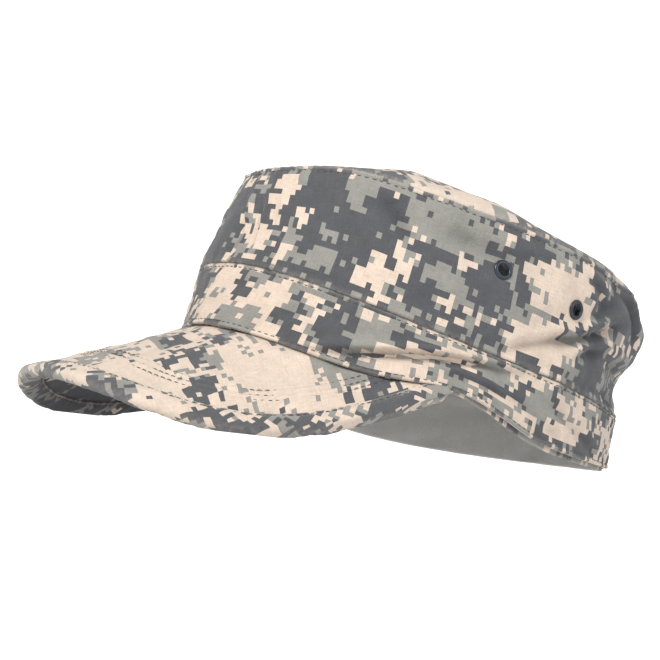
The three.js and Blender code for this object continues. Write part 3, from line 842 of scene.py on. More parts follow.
def wall_strip(name, surface, angles, heights, base, thickness, material, closed):
    """A strip of wall cloth: its outer face follows a surface, and its inner one follows the folds and
    a share of the relief."""
    height_span = BAND_HEIGHT if base == 0 else CROWN_HEIGHT
    levels = base + heights / height_span
    thread, level = np.meshgrid(angles, levels, indexing="ij")
    outer = surface(thread, level)
    edge = np.minimum(heights, height_span - heights)
    rounding = edge_rounding(edge, thickness / 2)[None, :]
    inner_depth = thickness - rounding - INNER_DEPTH_SHARE * wall_relief(thread, level, INNER_FINENESS)
    inner = wall_point(skew(thread, level), level, inner_depth - seam_lift(thread))
    grid = to_frame(closed_section(outer, inner))
    u = along_strip(angles)
    if closed:
        u = np.append(u, along_strip(angles[0] + 2 * math.pi))
    cut = section_cut(u, base * BAND_HEIGHT + heights)
    # Painted shade: a mark that darkens the outer face in the creases and along the band seam
    hollow = np.clip(-crease_relief(skew(thread, level), level) / HOLLOW_DEPTH, 0, 1) ** HOLLOW_POWER
    from_seam = np.abs(base * BAND_HEIGHT + heights - BAND_HEIGHT)
    hollow = hollow + SEAM_SHADE * bump(from_seam, SEAM_SHADE_REACH)
    hollow = np.concatenate([hollow, 0 * hollow], axis=1)
    worn = both_faces(np.exp(-edge / WALL_WEAR), grid)
    marks = {"wear": worn, "reverse": inner_share(grid), "hollow": hollow}
    return loft(name, grid, cut, material, closed, marks, ends=not closed)


# Peak

def peak_reach(angle):
    """Length of the peak out from the rim."""
    share = np.minimum(np.abs(angle) / (PEAK_HALF_ANGLE * RAD), 1)
    return PEAK_LENGTH * (1 - share**PEAK_SQUARENESS)


def peak_slope(angle):
    """Direction in which the peak leaves the rim."""
    s = np.sin(angle)
    droop = (PEAK_DROOP_FRONT + (PEAK_DROOP_SIDE - PEAK_DROOP_FRONT) * s * s) * RAD
    return unit(np.stack([PEAK_FLARE * s, -np.cos(droop), -np.sin(droop)], -1))


def peak_surface(angle, length):
    """A point of the peak's upper face."""
    start = wall_point(angle, 0.0, BAND_CLOTH - CLEARANCE)
    start[..., 2] -= CLEARANCE
    return start + peak_slope(angle) * length[..., None]


def peak_tangents(angle, length):
    """How the upper face moves with the angle, and with the length out from the rim."""
    d = 0.002
    round_it = (peak_surface(angle + d, length) - peak_surface(angle - d, length)) / (2 * d)
    return round_it, peak_slope(angle)


def peak_down(angle, length):
    """Direction from the upper face through the peak."""
    normal = unit(np.cross(*peak_tangents(angle, length)))
    return np.where(normal[..., 2:3] > 0, -normal, normal)


def peak_point(angle, length, offset):
    """A point of the peak's section: offset is measured downwards from its middle."""
    return peak_surface(angle, length) + peak_down(angle, length) * (PEAK_THICKNESS / 2 + offset)[..., None]


def peak_edge_length(angle):
    """Length out from the rim at which the rounded edge of the peak begins."""
    return peak_reach(angle) - BINDING_CLOTH - CLEARANCE - PEAK_THICKNESS / 2


def peak_end_angle():
    """Angle at which the peak's ends are cut off."""
    return PEAK_HALF_ANGLE * RAD * (1 - PEAK_END_LENGTH / PEAK_LENGTH) ** (1 / PEAK_SQUARENESS)


def peak_edge_angles(count):
    """Angles whose edge points lie evenly along the peak's edge."""
    end = peak_end_angle()
    fine = np.linspace(-end, end, EDGE_SAMPLES)
    line = peak_surface(fine, peak_edge_length(fine))
    run = np.concatenate([[0], np.cumsum(np.linalg.norm(np.diff(line, axis=0), axis=1))])
    return np.interp(np.linspace(0, run[-1], count), run, fine), run[-1]


def walk_inwards(angle, distances, scale=1.0):
    """Angles and lengths of the points that lie square in from the peak's edge, at the distances.
    Each step goes over the upper face; a walk that would pass the rim stays there. scale is a share of
    the distances."""
    length = peak_edge_length(angle)
    d = 1e-3
    ahead = peak_surface(angle + d, peak_edge_length(angle + d))
    behind = peak_surface(angle - d, peak_edge_length(angle - d))
    inward = unit(np.cross(unit(ahead - behind), peak_down(angle, length)))
    inward = inward * np.sign(np.sum(-inward * peak_surface(angle, length), -1, keepdims=True))
    angles, lengths = [], []
    covered = 0.0
    for distance in distances:
        steps = max(1, int(math.ceil((distance - covered) / WALK_STRIDE)))
        for _ in range(steps):
            stride = scale * (distance - covered) / steps
            round_it, out = peak_tangents(angle, length)
            a = np.sum(round_it * round_it, -1)
            b = np.sum(round_it * out, -1)
            p = np.sum(round_it * inward, -1) * stride
            q = np.sum(out * inward, -1) * stride
            det = np.maximum(a - b * b, 1e-6)
            angle = angle + (p - b * q) / det
            length = np.maximum(length + (a * q - b * p) / det, WALK_STOP)
        covered = distance
        angles.append(angle)
        lengths.append(length)
    return np.stack(angles, -1), np.stack(lengths, -1)


def peak_row_scale(angle):
    """Share by which the rows of stitches draw closer to the peak's edge, away from its front."""
    return 1 - PEAK_ROWS_DRAW_IN * smoothstep(0, PEAK_ROWS_TURN * RAD, np.abs(angle))


def from_peak_edge(points):
    """Least distance of points from the line where the peak's edge begins to turn."""
    angles, _ = peak_edge_angles(EDGE_LINE_POINTS)
    line = peak_point(angles, peak_edge_length(angles), -PEAK_THICKNESS / 2 + 0 * angles)
    flat = points.reshape(-1, 3)
    least = np.full(len(flat), 1e9)
    for part in np.array_split(np.arange(len(flat)), 40):
        gaps = flat[part, None, :] - line[None]
        least[part] = np.sqrt((gaps * gaps).sum(-1).min(-1))
    return least.reshape(points.shape[:-1])


def peak_cut(points):
    """The flat cloth's place for points of the peak, lined up with its centre line."""
    return np.stack([points[..., 0], -points[..., 1] * PEAK_CUT_STRETCH], -1)


def across_grid(angles, values):
    """The angles down a grid, with a column for each value."""
    return np.broadcast_to(angles[:, None], (len(angles), len(values)))


def make_peak(material):
    """The peak's cloth: quilted between its rows above, plainer below, with a rounded edge."""
    cloth = bpy.context.scene.cap_cloth
    angles, _ = peak_edge_angles(PEAK_COLUMNS)
    shares = np.linspace(0, 1, PEAK_LINES) ** PEAK_LINE_POWER
    turn = peak_edge_length(angles)[:, None]
    a = across_grid(angles, shares)
    lengths = turn * shares
    radius = PEAK_THICKNESS / 2
    upper = peak_point(a, lengths, -radius + 0 * a)
    distance = from_peak_edge(upper)
    row_place = distance / peak_row_scale(a)
    soft = cloth.softness * (lumps(upper, *PEAK_LUMPS) + lumps(upper, *SMALL_PEAK_LUMPS))
    first, second, last = PEAK_ROWS
    quilt = QUILT_DEPTH * np.cos((row_place - second) * 2 * math.pi / (second - first))
    between = smoothstep(first - QUILT_FADE, first, row_place)
    between = between * (1 - smoothstep(last, last + QUILT_FADE, row_place))
    calm = smoothstep(0, PEAK_EDGE_CALM, distance) * smoothstep(0, PEAK_RIM_CALM, lengths)
    raised = calm * (soft - quilt * between + QUILT_RAISE * between)
    upper = upper - peak_down(a, lengths) * raised[..., None]
    lower = peak_point(a, lengths, radius - UNDERSIDE_LUMPS * calm * soft)
    bends = np.linspace(-PEAK_EDGE_TURN, PEAK_EDGE_TURN, PEAK_EDGE_STEPS) * RAD
    b = across_grid(angles, bends)
    bend = peak_point(b, turn + radius * np.cos(bends), radius * np.sin(bends) + 0 * b)
    grid = np.concatenate([upper, bend, lower[:, ::-1]], 1)
    cut = peak_cut(np.concatenate([grid, grid[:, :1]], 1))
    rows = np.concatenate([row_place, 0 * b, row_place[:, ::-1]], 1)
    marks = {"wear": 0 * rows, "rows": rows, "reverse": inner_share(grid)}
    piece = loft("peak_cover", to_frame(grid), cut, material, False, marks, ends=True)
    return dressed(piece, ["peak"])


def binding_height(across, radius):
    """Height of the binding's outer face over the peak's middle, at a distance in from its fold."""
    rounding = edge_rounding(BINDING_SPAN - across, BINDING_CLOTH * BINDING_ROUND)
    dent = BINDING_DENT * bump(across - BINDING_SPAN + BINDING_ROW, BINDING_DENT_WIDTH)
    slim = BINDING_SLIM * smoothstep(BINDING_SPAN - BINDING_SLIM_REACH, BINDING_SPAN, across)
    return radius - rounding - dent - slim


def make_binding(material):
    """The tape folded round the peak's edge, with slanting puckers."""
    cloth = bpy.context.scene.cap_cloth
    angles, run = peak_edge_angles(BINDING_COLUMNS)
    stations = np.linspace(0, run, len(angles))
    across = np.array(BINDING_PLACES) * BINDING_SPAN / 8
    walked, lengths = walk_inwards(angles, across)
    inside = PEAK_THICKNESS / 2 + CLEARANCE
    outside = inside + BINDING_CLOTH
    height = binding_height(across, outside)[None, :] + 0 * walked
    grip = BINDING_GRIP * smoothstep(BINDING_SPAN - BINDING_GRIP_REACH, BINDING_SPAN, across)
    low = inside - grip[None, :] + 0 * walked
    bends = np.linspace(-90, 90, BINDING_FOLD_STEPS)[1:-1] * RAD
    b = across_grid(angles, bends)
    turn = peak_edge_length(angles)[:, None]

    def section(upper_height, edge_radius, lower_height):
        upper = peak_point(walked, lengths, -upper_height)[:, ::-1]
        bend = peak_point(b, turn + edge_radius * np.cos(bends), edge_radius * np.sin(bends))
        lower = peak_point(walked, lengths, lower_height)
        return np.concatenate([upper, bend, lower], 1)

    fold = outside * math.pi / 2
    place = np.concatenate([-across[::-1] - fold, outside * bends, across + fold])
    s, w = np.meshgrid(stations, place, indexing="ij")
    plain = section(height, outside + 0 * b, height)
    slant = 2 * math.pi * (s + BINDING_PUCKER_SLANT * w) / BINDING_PUCKER_PITCH
    puckers = cloth.puckers * BINDING_PUCKER * np.sin(slant + lumps(plain, *BINDING_PUCKER_WANDER))
    puckers = puckers * (BINDING_PUCKER_LEVEL + lumps(plain, *BINDING_PUCKER_UNEVEN))
    soft = cloth.softness * lumps(plain, *BINDING_LUMPS)
    raised = (puckers + soft) * np.clip((BINDING_SPAN + fold - np.abs(w)) / BINDING_PUCKER_FADE, 0, 1)
    n = len(across)
    outer = section(height + raised[:, :n][:, ::-1], outside + raised[:, n:-n], height + raised[:, -n:])
    inner = section(low, inside + 0 * b, low)
    grid = to_frame(closed_section(outer, inner))
    cut = np.stack(turned_cut(*np.moveaxis(section_cut(stations, place), -1, 0)), -1)
    worn = BINDING_FOLD_WEAR_SHARE * bump(place, BINDING_FOLD_WEAR)
    worn = worn + np.exp(-(place[-1] - np.abs(place)) / BINDING_EDGE_WEAR)
    # Below the peak the tape takes the underside's print, with its slate painted as shade
    below = smoothstep(BINDING_UNDER_FROM, BINDING_UNDER_TO, place)
    marks = {"wear": both_faces(worn, grid), "reverse": both_faces(below, grid)}
    piece = loft("binding_tape", grid, cut, material, False, marks, ends=True)
    return dressed(piece, ["peak_binding"])


# Crown and bands

def make_crown_top(material):
    """The top panel, with its seam allowance turned down inside the walls."""
    thread = np.linspace(-math.pi, math.pi, int(GIRTH / PITCH) + 1)[:-1]
    half = CROWN_WIDTH / 2
    from_edge = graded(0, half - TOP_MIDDLE, PITCH, TOP_FINE_PITCH, [0.0], TOP_FINE_REACH)
    from_edge = np.concatenate([[0.0, TOP_EDGE_STEP], from_edge[1:]])
    far = from_edge > TOP_COARSE_FROM
    from_edge = np.concatenate([from_edge[~far], from_edge[far][::2]])
    shares = (1 - from_edge / half)[::-1]
    t, s = np.meshgrid(thread, shares, indexing="ij")
    outer = dome_surface(t, s)
    inner = outer.copy()
    inner[..., 2] -= CROWN_CLOTH
    tuck = CROWN_CLOTH + CLEARANCE
    inner = inner - wall_out(t) * (tuck * smoothstep(TOP_TUCK_START, 1.0, s))[..., None]
    levels = 2 - np.array(TOP_ALLOWANCE) / CROWN_HEIGHT
    td, ld = np.meshgrid(thread, levels, indexing="ij")
    fold = tuck + 0 * td
    down = wall_point(skew(td, ld), ld, fold)
    back = wall_point(skew(td, ld), ld, fold + CROWN_CLOTH)
    grid = np.concatenate([outer, down, back[:, ::-1], inner[:, ::-1]], 1)
    flat = dome_base(t, s)[..., :2] * np.array([1, -1])
    hung = down[..., :2] * np.array([1, -1])
    flat = np.concatenate([flat, hung, hung[:, ::-1], flat[:, ::-1]], 1)
    flat = np.concatenate([flat, flat[:1]], 0)
    unworn = UNWORN + 0 * np.concatenate([td, td, s], 1)
    worn = np.exp(-np.concatenate([(1 - s) * half, unworn], 1) / TOP_WEAR)
    marks = {"wear": worn, "reverse": inner_share(grid)}
    piece = loft("crown_top_panel", to_frame(grid), flat, material, True, marks, fans=True)
    return dressed(piece, ["crown_top"])


def make_crown_side(side, material):
    """A side panel of the crown, pierced for its eyelets."""
    angles = angle_columns(0, math.pi, [0.0, math.pi])
    gap = SEAM_GAP / 2 / (RIM_WIDTH / 2)
    angles = np.clip(angles, gap, math.pi - gap)
    if side == "right":
        angles = -angles[::-1]
    heights = strip_rows(CROWN_HEIGHT, [0.0, CROWN_HEIGHT, CROWN_HEIGHT - CROWN_ROW])
    name = f"crown_side_{side}"
    piece = wall_strip(f"{name}_panel", crown_surface, angles, heights, 1, CROWN_CLOTH, material, False)
    for eyelet in EYELETS:
        if side in eyelet:
            pierce(piece, eyelet)
    return dressed(piece, [name])


def make_outer_band(material):
    """The printed band round the head opening."""
    angles = angle_columns(-math.pi, math.pi, [-math.pi, 0.0, math.pi])[:-1]
    heights = strip_rows(BAND_HEIGHT, [0.0, RIM_ROW, BAND_HEIGHT - BAND_ROW, BAND_HEIGHT])
    piece = wall_strip("outer_band_strip", band_surface, angles, heights, 0, BAND_CLOTH, material, True)
    return dressed(piece, ["outer_band"])


def make_inner_band(material):
    """The sweatband, whose lip shows below the outer band."""
    angles = np.linspace(-math.pi, math.pi, INNER_BAND_COLUMNS + 1)[:-1]
    top = BAND_HEIGHT + INNER_BAND_OVERLAP
    wall_rows = np.linspace(INNER_BAND_WALL_FROM, top - INNER_BAND_TOP_STEP, INNER_BAND_WALL_ROWS)
    heights = np.concatenate([INNER_BAND_LIP_ROWS, wall_rows, [top]])
    levels = (heights - INNER_BAND_LIP) / BAND_HEIGHT
    levels = np.where(levels > 1, 1 + (levels - 1) * BAND_HEIGHT / CROWN_HEIGHT, levels)
    depth = max(BAND_CLOTH, CROWN_CLOTH) + CLEARANCE
    thread, level = np.meshgrid(angles, levels, indexing="ij")
    from_end = np.minimum(heights, heights[-1] - heights)
    rounding = INNER_BAND_ROUND * edge_rounding(from_end, INNER_BAND_CLOTH / 2)[None, :]
    waves = lumps(wall_point(thread, level, 0), *INNER_BAND_LUMPS)
    outer = wall_point(thread, level, depth + rounding - waves)
    inner = wall_point(thread, level, depth + INNER_BAND_CLOTH - rounding - waves)
    grid = to_frame(closed_section(outer, inner))
    cut = section_cut(np.append(along_strip(angles), GIRTH / 2), heights)
    worn = both_faces(np.exp(-heights / INNER_BAND_WEAR), grid)
    marks = {"wear": worn, "reverse": inner_share(grid)}
    piece = loft("inner_band_strip", grid, cut, material, True, marks)
    return dressed(piece, ["inner_band"])


# Eyelets

def eyelet_place(name):
    """Middle and axes of an eyelet, in the worn frame: across it, up it and out of the cloth."""
    degrees, level = EYELETS[name]
    angle = np.array(degrees * RAD)
    level = np.array(level)
    d = 0.02
    across = unit(wall_point(angle + d, level, 0) - wall_point(angle - d, level, 0))
    up = unit(wall_point(angle, level + d, 0) - wall_point(angle, level - d, 0))
    out = unit(np.cross(across, up))
    up = unit(np.cross(out, across))
    return wall_point(angle, level, CROWN_CLOTH / 2), across, up, out


def turned(name, profile, around, place, material):
    """A ring turned from a closed profile of (radius, height) points about an axis."""
    middle, across, up, out = place
    turns = np.linspace(0, 2 * math.pi, around, endpoint=False)[:, None, None]
    radius, height = profile[None, :, 0:1], profile[None, :, 1:2]
    grid = middle + radius * (np.cos(turns) * across + np.sin(turns) * up) + height * out
    u = np.append(turns.ravel(), 2 * math.pi) * EYELET_DIAMETER / 2
    v = np.arange(len(profile) + 1) * 0.3
    cut = np.stack(np.meshgrid(u, v, indexing="ij"), -1)
    return loft(name, to_frame(grid), cut, material, True)


def rounded_profile(corners, per_side):
    """A smooth closed line through corners."""
    here = np.array(corners, float)
    before, after, beyond = (np.roll(here, -k, 0) for k in (-1, 1, 2))
    points = []
    for t in np.arange(per_side) / per_side:
        t2, t3 = t * t, t * t * t
        square = (2 * before - 5 * here + 4 * after - beyond) * t2
        cube = (3 * here - before - 3 * after + beyond) * t3
        points.append(0.5 * (2 * here + (after - before) * t + square + cube))
    return np.stack(points, 1).reshape(-1, 2)


def make_eyelet(name, material):
    """An eyelet: its rolled outer flange, its barrel and the rim that is clenched inside."""
    hole, flange = EYELET_HOLE / 2, EYELET_DIAMETER / 2
    barrel = hole + EYELET_WALL
    face = CROWN_CLOTH / 2
    outer_roll = [
        (hole, face), (hole + 0.1, face + 0.55), (hole + 0.65, face + 0.85), (flange - 0.45, face + 0.7),
        (flange, face + 0.3), (flange - 0.1, face - 0.1), (barrel + 0.3, face - 0.15), (barrel, face - 0.4),
    ]
    inner_roll = [
        (barrel, -face + 0.1), (flange - 0.2, -face - 0.1), (flange, -face - 0.45),
        (flange - 0.5, -face - 0.8), (hole + 0.3, -face - 0.75), (hole, -face),
    ]
    profile = rounded_profile(outer_roll + inner_roll, 4)
    piece = turned(f"{name}_ring", profile, EYELET_SIDES, eyelet_place(name), material)
    return dressed(piece, [name])


def pierce(piece, name):
    """Cuts the hole of an eyelet through a panel, and closes up the slivers that the cut leaves."""
    reach = EYELET_DIAMETER
    radius = EYELET_HOLE / 2 + DRILL_MARGIN
    profile = np.array([(0.01, -reach), (radius, -reach), (radius, reach), (0.01, reach)])
    drill = turned("drill", profile, DRILL_SIDES, eyelet_place(name), piece.data.materials[0])
    cutter = piece.modifiers.new("hole", "BOOLEAN")
    cutter.operation = "DIFFERENCE"
    cutter.solver = "EXACT"
    cutter.object = drill
    evaluated = piece.evaluated_get(bpy.context.evaluated_depsgraph_get())
    mesh = bpy.data.meshes.new_from_object(evaluated)
    cleaned = bmesh.new()
    cleaned.from_mesh(mesh)
    bmesh.ops.dissolve_degenerate(cleaned, dist=SLIVER * MM, edges=cleaned.edges)
    bmesh.ops.triangulate(cleaned, faces=[face for face in cleaned.faces if len(face.verts) > 4])
    cleaned.to_mesh(mesh)
    cleaned.free()
    piece.modifiers.clear()
    piece.data = mesh
    bpy.data.objects.remove(drill)


# Stitches

# Places along a stitch, with their heights over the cloth and their shares of the thread's radius
STATIONS = np.array([0.0, 0.22, 0.5, 0.78, 1.0])
STATION_HEIGHTS = np.array([-0.3, 0.1, 0.17, 0.1, -0.3])
STATION_GIRTHS = np.array([0.55, 1.0, 1.0, 1.0, 0.55])
THREAD_SIDES = 6
STITCH_WANDER = 0.15
STITCH_LENGTH_SPREAD = (0.86, 1.08)
STITCH_LEAN = 0.14
LINE_STEP = 0.6 / 95
LINE_ENDS = 0.012
PEAK_LINE_STOP = 1.2
PEAK_LINE_POINTS = 520


def row_of_stitches(points, outs, draw):
    """Capsules along a line that lies on the cloth."""
    thread = bpy.context.scene.cap_thread
    steps = np.linalg.norm(np.diff(points, axis=0), axis=1)
    run = np.concatenate([[0], np.cumsum(steps)])
    pitch = (thread.stitch_length + thread.stitch_gap) / MM
    count = int(run[-1] / pitch)
    starts = (np.arange(count) + STITCH_WANDER) * run[-1] / count
    starts = starts + draw.uniform(-STITCH_WANDER, STITCH_WANDER, count)
    lengths = thread.stitch_length / MM * draw.uniform(*STITCH_LENGTH_SPREAD, count)
    where = starts[:, None] + lengths[:, None] * STATIONS

    def at(values):
        return np.stack([np.interp(where, run, values[:, k]) for k in range(3)], -1)

    out = unit(at(outs))
    along = unit(np.gradient(at(points), axis=1))
    side = unit(np.cross(along, out))
    out = np.cross(side, along)
    lean = draw.uniform(-STITCH_LEAN, STITCH_LEAN, (count, 1)) * (STATIONS - 0.5)
    middle = at(points) + out * STATION_HEIGHTS[:, None] + side * lean[..., None]
    radius = thread.thickness / 2 / MM * STATION_GIRTHS
    turns = np.arange(THREAD_SIDES) * 2 * math.pi / THREAD_SIDES
    ring = np.cos(turns)[:, None] * out[:, :, None] + np.sin(turns)[:, None] * side[:, :, None]
    return middle[:, :, None] + radius[:, None, None] * ring


def sew(name, lines, material, seed):
    """One piece of all the stitches along some lines of (points, directions out of the cloth)."""
    draw = np.random.default_rng(seed)
    rings = np.concatenate([row_of_stitches(points, outs, draw) for points, outs in lines])
    count, stations, sides = rings.shape[:3]
    k, j, i = np.meshgrid(np.arange(count), np.arange(stations - 1), np.arange(sides), indexing="ij")
    base = k * stations * sides
    i2 = (i + 1) % sides
    quads = np.stack([base + j * sides + i, base + j * sides + i2, base + (j + 1) * sides + i2,
                      base + (j + 1) * sides + i], -1).reshape(-1, 4)
    if not faces_out(rings, quads):
        quads = quads[:, ::-1]
    starts = np.arange(count)[:, None] * stations * sides
    first = starts + np.arange(sides)
    last = starts + (stations - 1) * sides + np.arange(sides)
    forward = quads[0, 0] < quads[0, 1]
    ends = [first[:, ::-1], last] if forward else [first, last[:, ::-1]]
    faces = quads.tolist() + ends[0].tolist() + ends[1].tolist()
    piece = new_mesh(name, to_frame(rings), faces, material)
    return dressed(piece, [])


def wall_line(surface, level, start, end):
    """A line round a wall at one level, with the directions out of the cloth."""
    thread = np.linspace(start, end, int(abs(end - start) / LINE_STEP) + 2)
    levels = level + 0 * thread
    d = 0.006
    points = surface(thread, levels)
    round_it = surface(thread + d, levels) - surface(thread - d, levels)
    up = wall_point(skew(thread, levels), levels + d, 0) - wall_point(skew(thread, levels), levels - d, 0)
    return points, unit(np.cross(round_it, up))


def binding_line(upper):
    """The binding's row of stitches, on the upper or the lower face."""
    angles, _ = peak_edge_angles(PEAK_LINE_POINTS)
    distance = BINDING_SPAN - BINDING_ROW
    height = binding_height(np.array(distance), PEAK_THICKNESS / 2 + CLEARANCE + BINDING_CLOTH)
    return peak_line(*walk_inwards(angles, [distance]), float(height), upper)


def row_line(distance, upper):
    """One of the peak's rows of stitches, on the upper or the lower face."""
    angles, _ = peak_edge_angles(PEAK_LINE_POINTS)
    return peak_line(*walk_inwards(angles, [distance], peak_row_scale(angles)), PEAK_THICKNESS / 2, upper)


def peak_line(walked, lengths, height, upper):
    """A line over the peak without its ends at the rim, with the directions out of the cloth."""
    walked, lengths = walked[:, 0], lengths[:, 0]
    kept = lengths > PEAK_LINE_STOP
    walked, lengths = walked[kept], lengths[kept]
    side = -1 if upper else 1
    return peak_point(walked, lengths, side * height + 0 * lengths), peak_down(walked, lengths) * side


def make_stitches(material):
    """All the rows of stitches, one piece for each kind of row."""
    band = [wall_line(band_surface, level, -math.pi, math.pi)
            for level in (RIM_ROW / BAND_HEIGHT, 1 - BAND_ROW / BAND_HEIGHT)]
    level = 2 - CROWN_ROW / CROWN_HEIGHT
    crown = [wall_line(crown_surface, level, start, start + math.pi - 2 * LINE_ENDS)
             for start in (LINE_ENDS, LINE_ENDS - math.pi)]
    tape = [binding_line(upper) for upper in (True, False)]
    rows = [row_line(distance, upper) for distance in PEAK_ROWS for upper in (True, False)]
    sew("band_stitches", band, material, 61)
    sew("crown_stitches", crown, material, 63)
    sew("binding_stitches", tape, material, 65)
    sew("peak_stitches", rows, material, 67)


# Materials

# Noises of the print, as (fineness for each millimetre, detail, strength), the level above which it is
# grey, its specks, and how hard the patches of the tables pull
BROAD_PATCHES = (0.055, 1.0, 7.0)
BLOCKY_PATCHES = (0.11, 1.0, 6.0)
FINE_EDGES = (0.22, 0.0, 4.2)
GREY_PATCHES = (0.08, 1.0, 8.0)
GREY_EDGES = (0.24, 0.0, 4.4)
GREY_LEVEL = 0.55
SPECKS = 1.6
PATCH_PULL = 2.1
GREY_PULL = 2.0

# Grey keeps a little to where sand meets slate, and gives way in their patches.
GREY_AT_EDGES = 0.16
GREY_GIVES_WAY = 0.3

# A patch ends softly where its weight, this value less the squared distance, falls from 1 to 0.
PATCH_SOFTNESS = 1.5

# The broad patches are wider than high, and the fine edges lie or stand. The grey's noises are taken
# from other places.
BROAD_STRETCH = (0.75, 1.25, 1.0)
LYING = (0.6, 1.3, 1.0)
STANDING = (1.3, 0.6, 1.0)
GREY_PLACE = (83.0, 41.0, 7.0)
GREY_EDGE_PLACE = (31.0, 97.0, 3.0)

# Weave: relief of its threads and of the cloth, its fuzz as (fineness, detail), fineness of its slubs
# along and across them, unevenness of its dye, and strength of its tints
THREAD_RELIEF = 0.12
CLOTH_RELIEF = 0.22
FUZZ = (1.6, 2.0)
SLUBS_ALONG = 0.2
SLUBS_ACROSS = 2.6
UNEVEN_DYE = (0.11, 2.0, 0.7)
TINT_STRENGTH = 0.38

# Rubbed cloth: its noise as (fineness, detail), how patchy it is, and its level
RUBBED_NOISE = (0.5, 2.0)
RUBBED_PATCHINESS = 0.9
RUBBED_LEVEL = -0.15

# Grooves of the peak's rows, and how far plain finishes vary in shade and roughness
ROW_GROOVE_WIDTH = 0.8
SHADE_SPREAD = 0.8
ROUGHNESS_SPREAD = 0.3

# Finishes, by the sockets of the shader
CLOTH_FINISH = {"Roughness": 0.92, "Specular IOR Level": 0.18, "Sheen Weight": 0.22, "Sheen Roughness": 0.45}
PAINT_FINISH = {"Roughness": 0.32, "Metallic": 0.5, "Specular IOR Level": 0.5}
THREAD_FINISH = {"Roughness": 0.75, "Metallic": 0.0, "Specular IOR Level": 0.3}
BACKDROP_FINISH = {"Roughness": 0.95, "Metallic": 0.0, "Specular IOR Level": 0.0}

# The prints: the place of each cut on the cloth, sand's share, and for the back of the cloth how far the
# print is missing and how much sand it gains, or below 0 loses to slate. That slate on the backs and
# undersides is painted shade.
PRINTS = {
    "crown_left_print": dict(shift=(0.0, 0.0, 0.0), sand_share=-0.8, fade=0.0, painted_back_shade=-2.0),
    "crown_right_print": dict(shift=(311.0, 173.0, 0.0), sand_share=-0.8, fade=0.0, painted_back_shade=-2.0),
    "crown_top_print": dict(shift=(57.0, 211.0, 0.0), sand_share=0.0, fade=0.0, painted_back_shade=-2.0),
    "band_print": dict(shift=(131.0, 67.0, 0.0), sand_share=0.4),
    "inner_band_print": dict(shift=(19.0, 401.0, 0.0), sand_share=0.0),
    "peak_print": dict(shift=(7.0, 13.0, 0.0), sand_share=1.2, groove_depth=0.18, fade=0.0, painted_back_shade=-2.1),
    "binding_print": dict(shift=(233.0, 89.0, 0.0), sand_share=0.3, fade=0.0, painted_back_shade=-1.2),
}


class Wiring:
    """Adds nodes to a shader tree, one short line for each."""

    def __init__(self, tree):
        self.tree = tree

    def add(self, kind, *inputs, out=0, **settings):
        made = self.tree.nodes.new(kind)
        for name, value in settings.items():
            setattr(made, name, value)
        for socket, value in zip(made.inputs, inputs):
            if isinstance(value, bpy.types.NodeSocket):
                self.tree.links.new(value, socket)
            elif value is not None:
                socket.default_value = value
        return made.outputs[out]

    def math(self, operation, *values, clamp=False):
        return self.add("ShaderNodeMath", *values, operation=operation, use_clamp=clamp)

    def vector(self, operation, *values, out=0):
        return self.add("ShaderNodeVectorMath", *values, operation=operation, out=out)

    def mix(self, share, a, b):
        return self.add("ShaderNodeMix", share, None, None, None, None, None, a, b, data_type="RGBA", out=2)

    def group(self, name, values, *wanted):
        """A node group with some inputs, as its first output or as the wanted ones."""
        made = self.tree.nodes.new("ShaderNodeGroup")
        made.node_tree = bpy.data.node_groups[name]
        for socket, value in values.items():
            if isinstance(value, bpy.types.NodeSocket):
                self.tree.links.new(value, made.inputs[socket])
            else:
                made.inputs[socket].default_value = value
        return [made.outputs[socket] for socket in wanted] if wanted else made.outputs[0]

    def noise(self, place, scale, detail=0.0):
        return self.add("ShaderNodeTexNoise", place, None, scale, detail)

    def swing(self, value, strength, middle=0.5):
        """The value times a strength, and 0 where it has its middle."""
        return self.math("MULTIPLY_ADD", value, strength, -strength * middle)

    def patches(self, place, scale, detail, strength, middle=0.5):
        """Noise that swings by a strength about 0."""
        return self.swing(self.noise(place, scale, detail), strength, middle)

    def mark(self, name):
        """A named value of the mesh."""
        return self.add("ShaderNodeAttribute", attribute_name=name, out=2)

    def grey(self, value):
        """The same value for red, green and blue."""
        return self.add("ShaderNodeCombineXYZ", value, value, value)

    def put_out(self, values, sockets):
        """Links values to the outputs of a group, by name."""
        for name, value in values.items():
            self.tree.links.new(value, sockets[name])

    def finish(self, settings, **linked):
        """The shader of a material, its constants, the values linked to it and the material's output."""
        shader = self.tree.nodes.new("ShaderNodeBsdfPrincipled")
        for name, value in settings.items():
            shader.inputs[name].default_value = value
        for name, value in linked.items():
            self.tree.links.new(value, shader.inputs[name.replace("_", " ")])
        sink = self.tree.nodes.new("ShaderNodeOutputMaterial")
        self.tree.links.new(shader.outputs[0], sink.inputs["Surface"])
        return shader


def new_group(name, inputs, outputs):
    """An empty node group, as its wiring, its input sockets and its output sockets by name."""
    tree = bpy.data.node_groups.new(name, "ShaderNodeTree")
    for socket_name, (kind, value) in inputs.items():
        socket = tree.interface.new_socket(socket_name, in_out="INPUT", socket_type=f"NodeSocket{kind}")
        socket.default_value = value
    for socket_name, kind in outputs.items():
        tree.interface.new_socket(socket_name, in_out="OUTPUT", socket_type=f"NodeSocket{kind}")
    source = tree.nodes.new("NodeGroupInput")
    sink = tree.nodes.new("NodeGroupOutput")
    return Wiring(tree), source.outputs, sink.inputs


def pixel_grid_group():
    """Moves every place to the middle of its square cell."""
    inputs = {"Place": ("Vector", (0, 0, 0)), "Cell": ("Float", 2.3)}
    w, given, result = new_group("pixel_grid", inputs, {"Place": "Vector"})
    cell = w.grey(given["Cell"])
    corner = w.vector("SNAP", given["Place"], cell)
    w.put_out({"Place": w.vector("MULTIPLY_ADD", cell, (0.5, 0.5, 0.5), corner)}, result)


